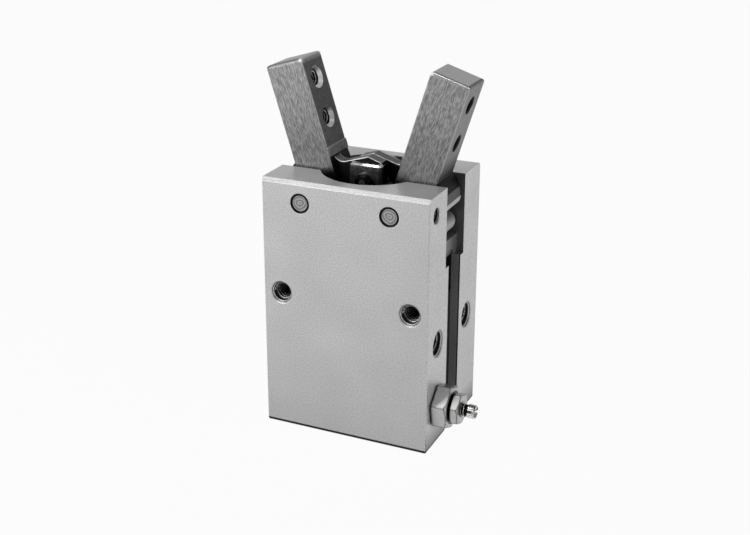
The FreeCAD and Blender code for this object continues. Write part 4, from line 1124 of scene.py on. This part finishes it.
room = bpy.data.worlds.new("room")
bpy.context.scene.world = room
room.use_nodes = True
air = room.node_tree.nodes["Background"]
air.inputs["Color"].default_value = (1, 1, 1, 1)
seen = add_node(room.node_tree, "ShaderNodeLightPath").outputs["Is Camera Ray"]
light = add_node(room.node_tree, "ShaderNodeMapRange", {"Value": seen}, {"To Min": ROOM_GREY, "To Max": 1.0})
room.node_tree.links.new(light.outputs[0], air.inputs["Strength"])

SOFT_BOXES = (
    ("front_left_box", (-0.13, -0.17, 0.12), 0.15, 0.43, True),
    ("right_box", (0.8, -0.08, 0.12), 0.4, 5.1, False),
    ("upper_left_box", (-0.3, -0.27, 0.68), 0.18, 0.72, True),
    ("upper_front_box", (0.0, -0.31, 0.67), 0.1, 0.4, True),
    ("upper_right_box", (0.37, -0.05, 0.6), 0.18, 0.4, True),
    ("rear_box", (-0.25, 0.95, 0.45), 0.6, 0.8, True),
)
AIM = Vector((0, 0, 30 * MM))
for name, spot, size, watts, mirrored in SOFT_BOXES:
    lamp = bpy.data.lights.new(name, "AREA")
    lamp.shape = "SQUARE"
    lamp.size = size
    lamp.energy = watts
    box = bpy.data.objects.new(name, lamp)
    box.location = spot
    box.visible_glossy = mirrored
    box.rotation_euler = (AIM - Vector(spot)).to_track_quat("-Z", "Y").to_euler()
    bpy.context.collection.objects.link(box)

# Camera: at the photograph's place, with the lens and shift that fit the block's corners and holes.
# It looks at a point just above the middle of the object.
AZIMUTH = math.radians(24.384)
ELEVATION = math.radians(20.099)
ROLL = math.radians(0.141)
DISTANCE = 220.51 * MM
TARGET = Vector((-0.47 * MM, 0, 34.38 * MM))
IMAGE_WIDTH = 750
IMAGE_HEIGHT = 535
FOCAL_PIXELS = 1261.94
MIDDLE_X = 370.5
MIDDLE_Y = 231.2
SENSOR_WIDTH = 36
NEAREST_SEEN = 10 * MM
back = Vector((
    math.sin(AZIMUTH) * math.cos(ELEVATION), -math.cos(AZIMUTH) * math.cos(ELEVATION), math.sin(ELEVATION)))
right = Vector((math.cos(AZIMUTH), math.sin(AZIMUTH), 0))
up = back.cross(right)
right, up = (right * math.cos(ROLL) + up * math.sin(ROLL), up * math.cos(ROLL) - right * math.sin(ROLL))
lens = bpy.data.cameras.new("camera")
lens.sensor_fit = "HORIZONTAL"
lens.sensor_width = SENSOR_WIDTH
lens.lens = SENSOR_WIDTH * FOCAL_PIXELS / IMAGE_WIDTH
lens.shift_x = (IMAGE_WIDTH / 2 - MIDDLE_X) / IMAGE_WIDTH
lens.shift_y = (MIDDLE_Y - IMAGE_HEIGHT / 2) / IMAGE_WIDTH
lens.clip_start = NEAREST_SEEN
camera = bpy.data.objects.new("camera", lens)
camera.matrix_world = Matrix((
    (right.x, up.x, back.x, 0), (right.y, up.y, back.y, 0), (right.z, up.z, back.z, 0), (0, 0, 0, 1)))
camera.location = TARGET + back * DISTANCE
bpy.context.collection.objects.link(camera)
bpy.context.scene.camera = camera
bpy.context.scene.view_settings.view_transform = "Standard"
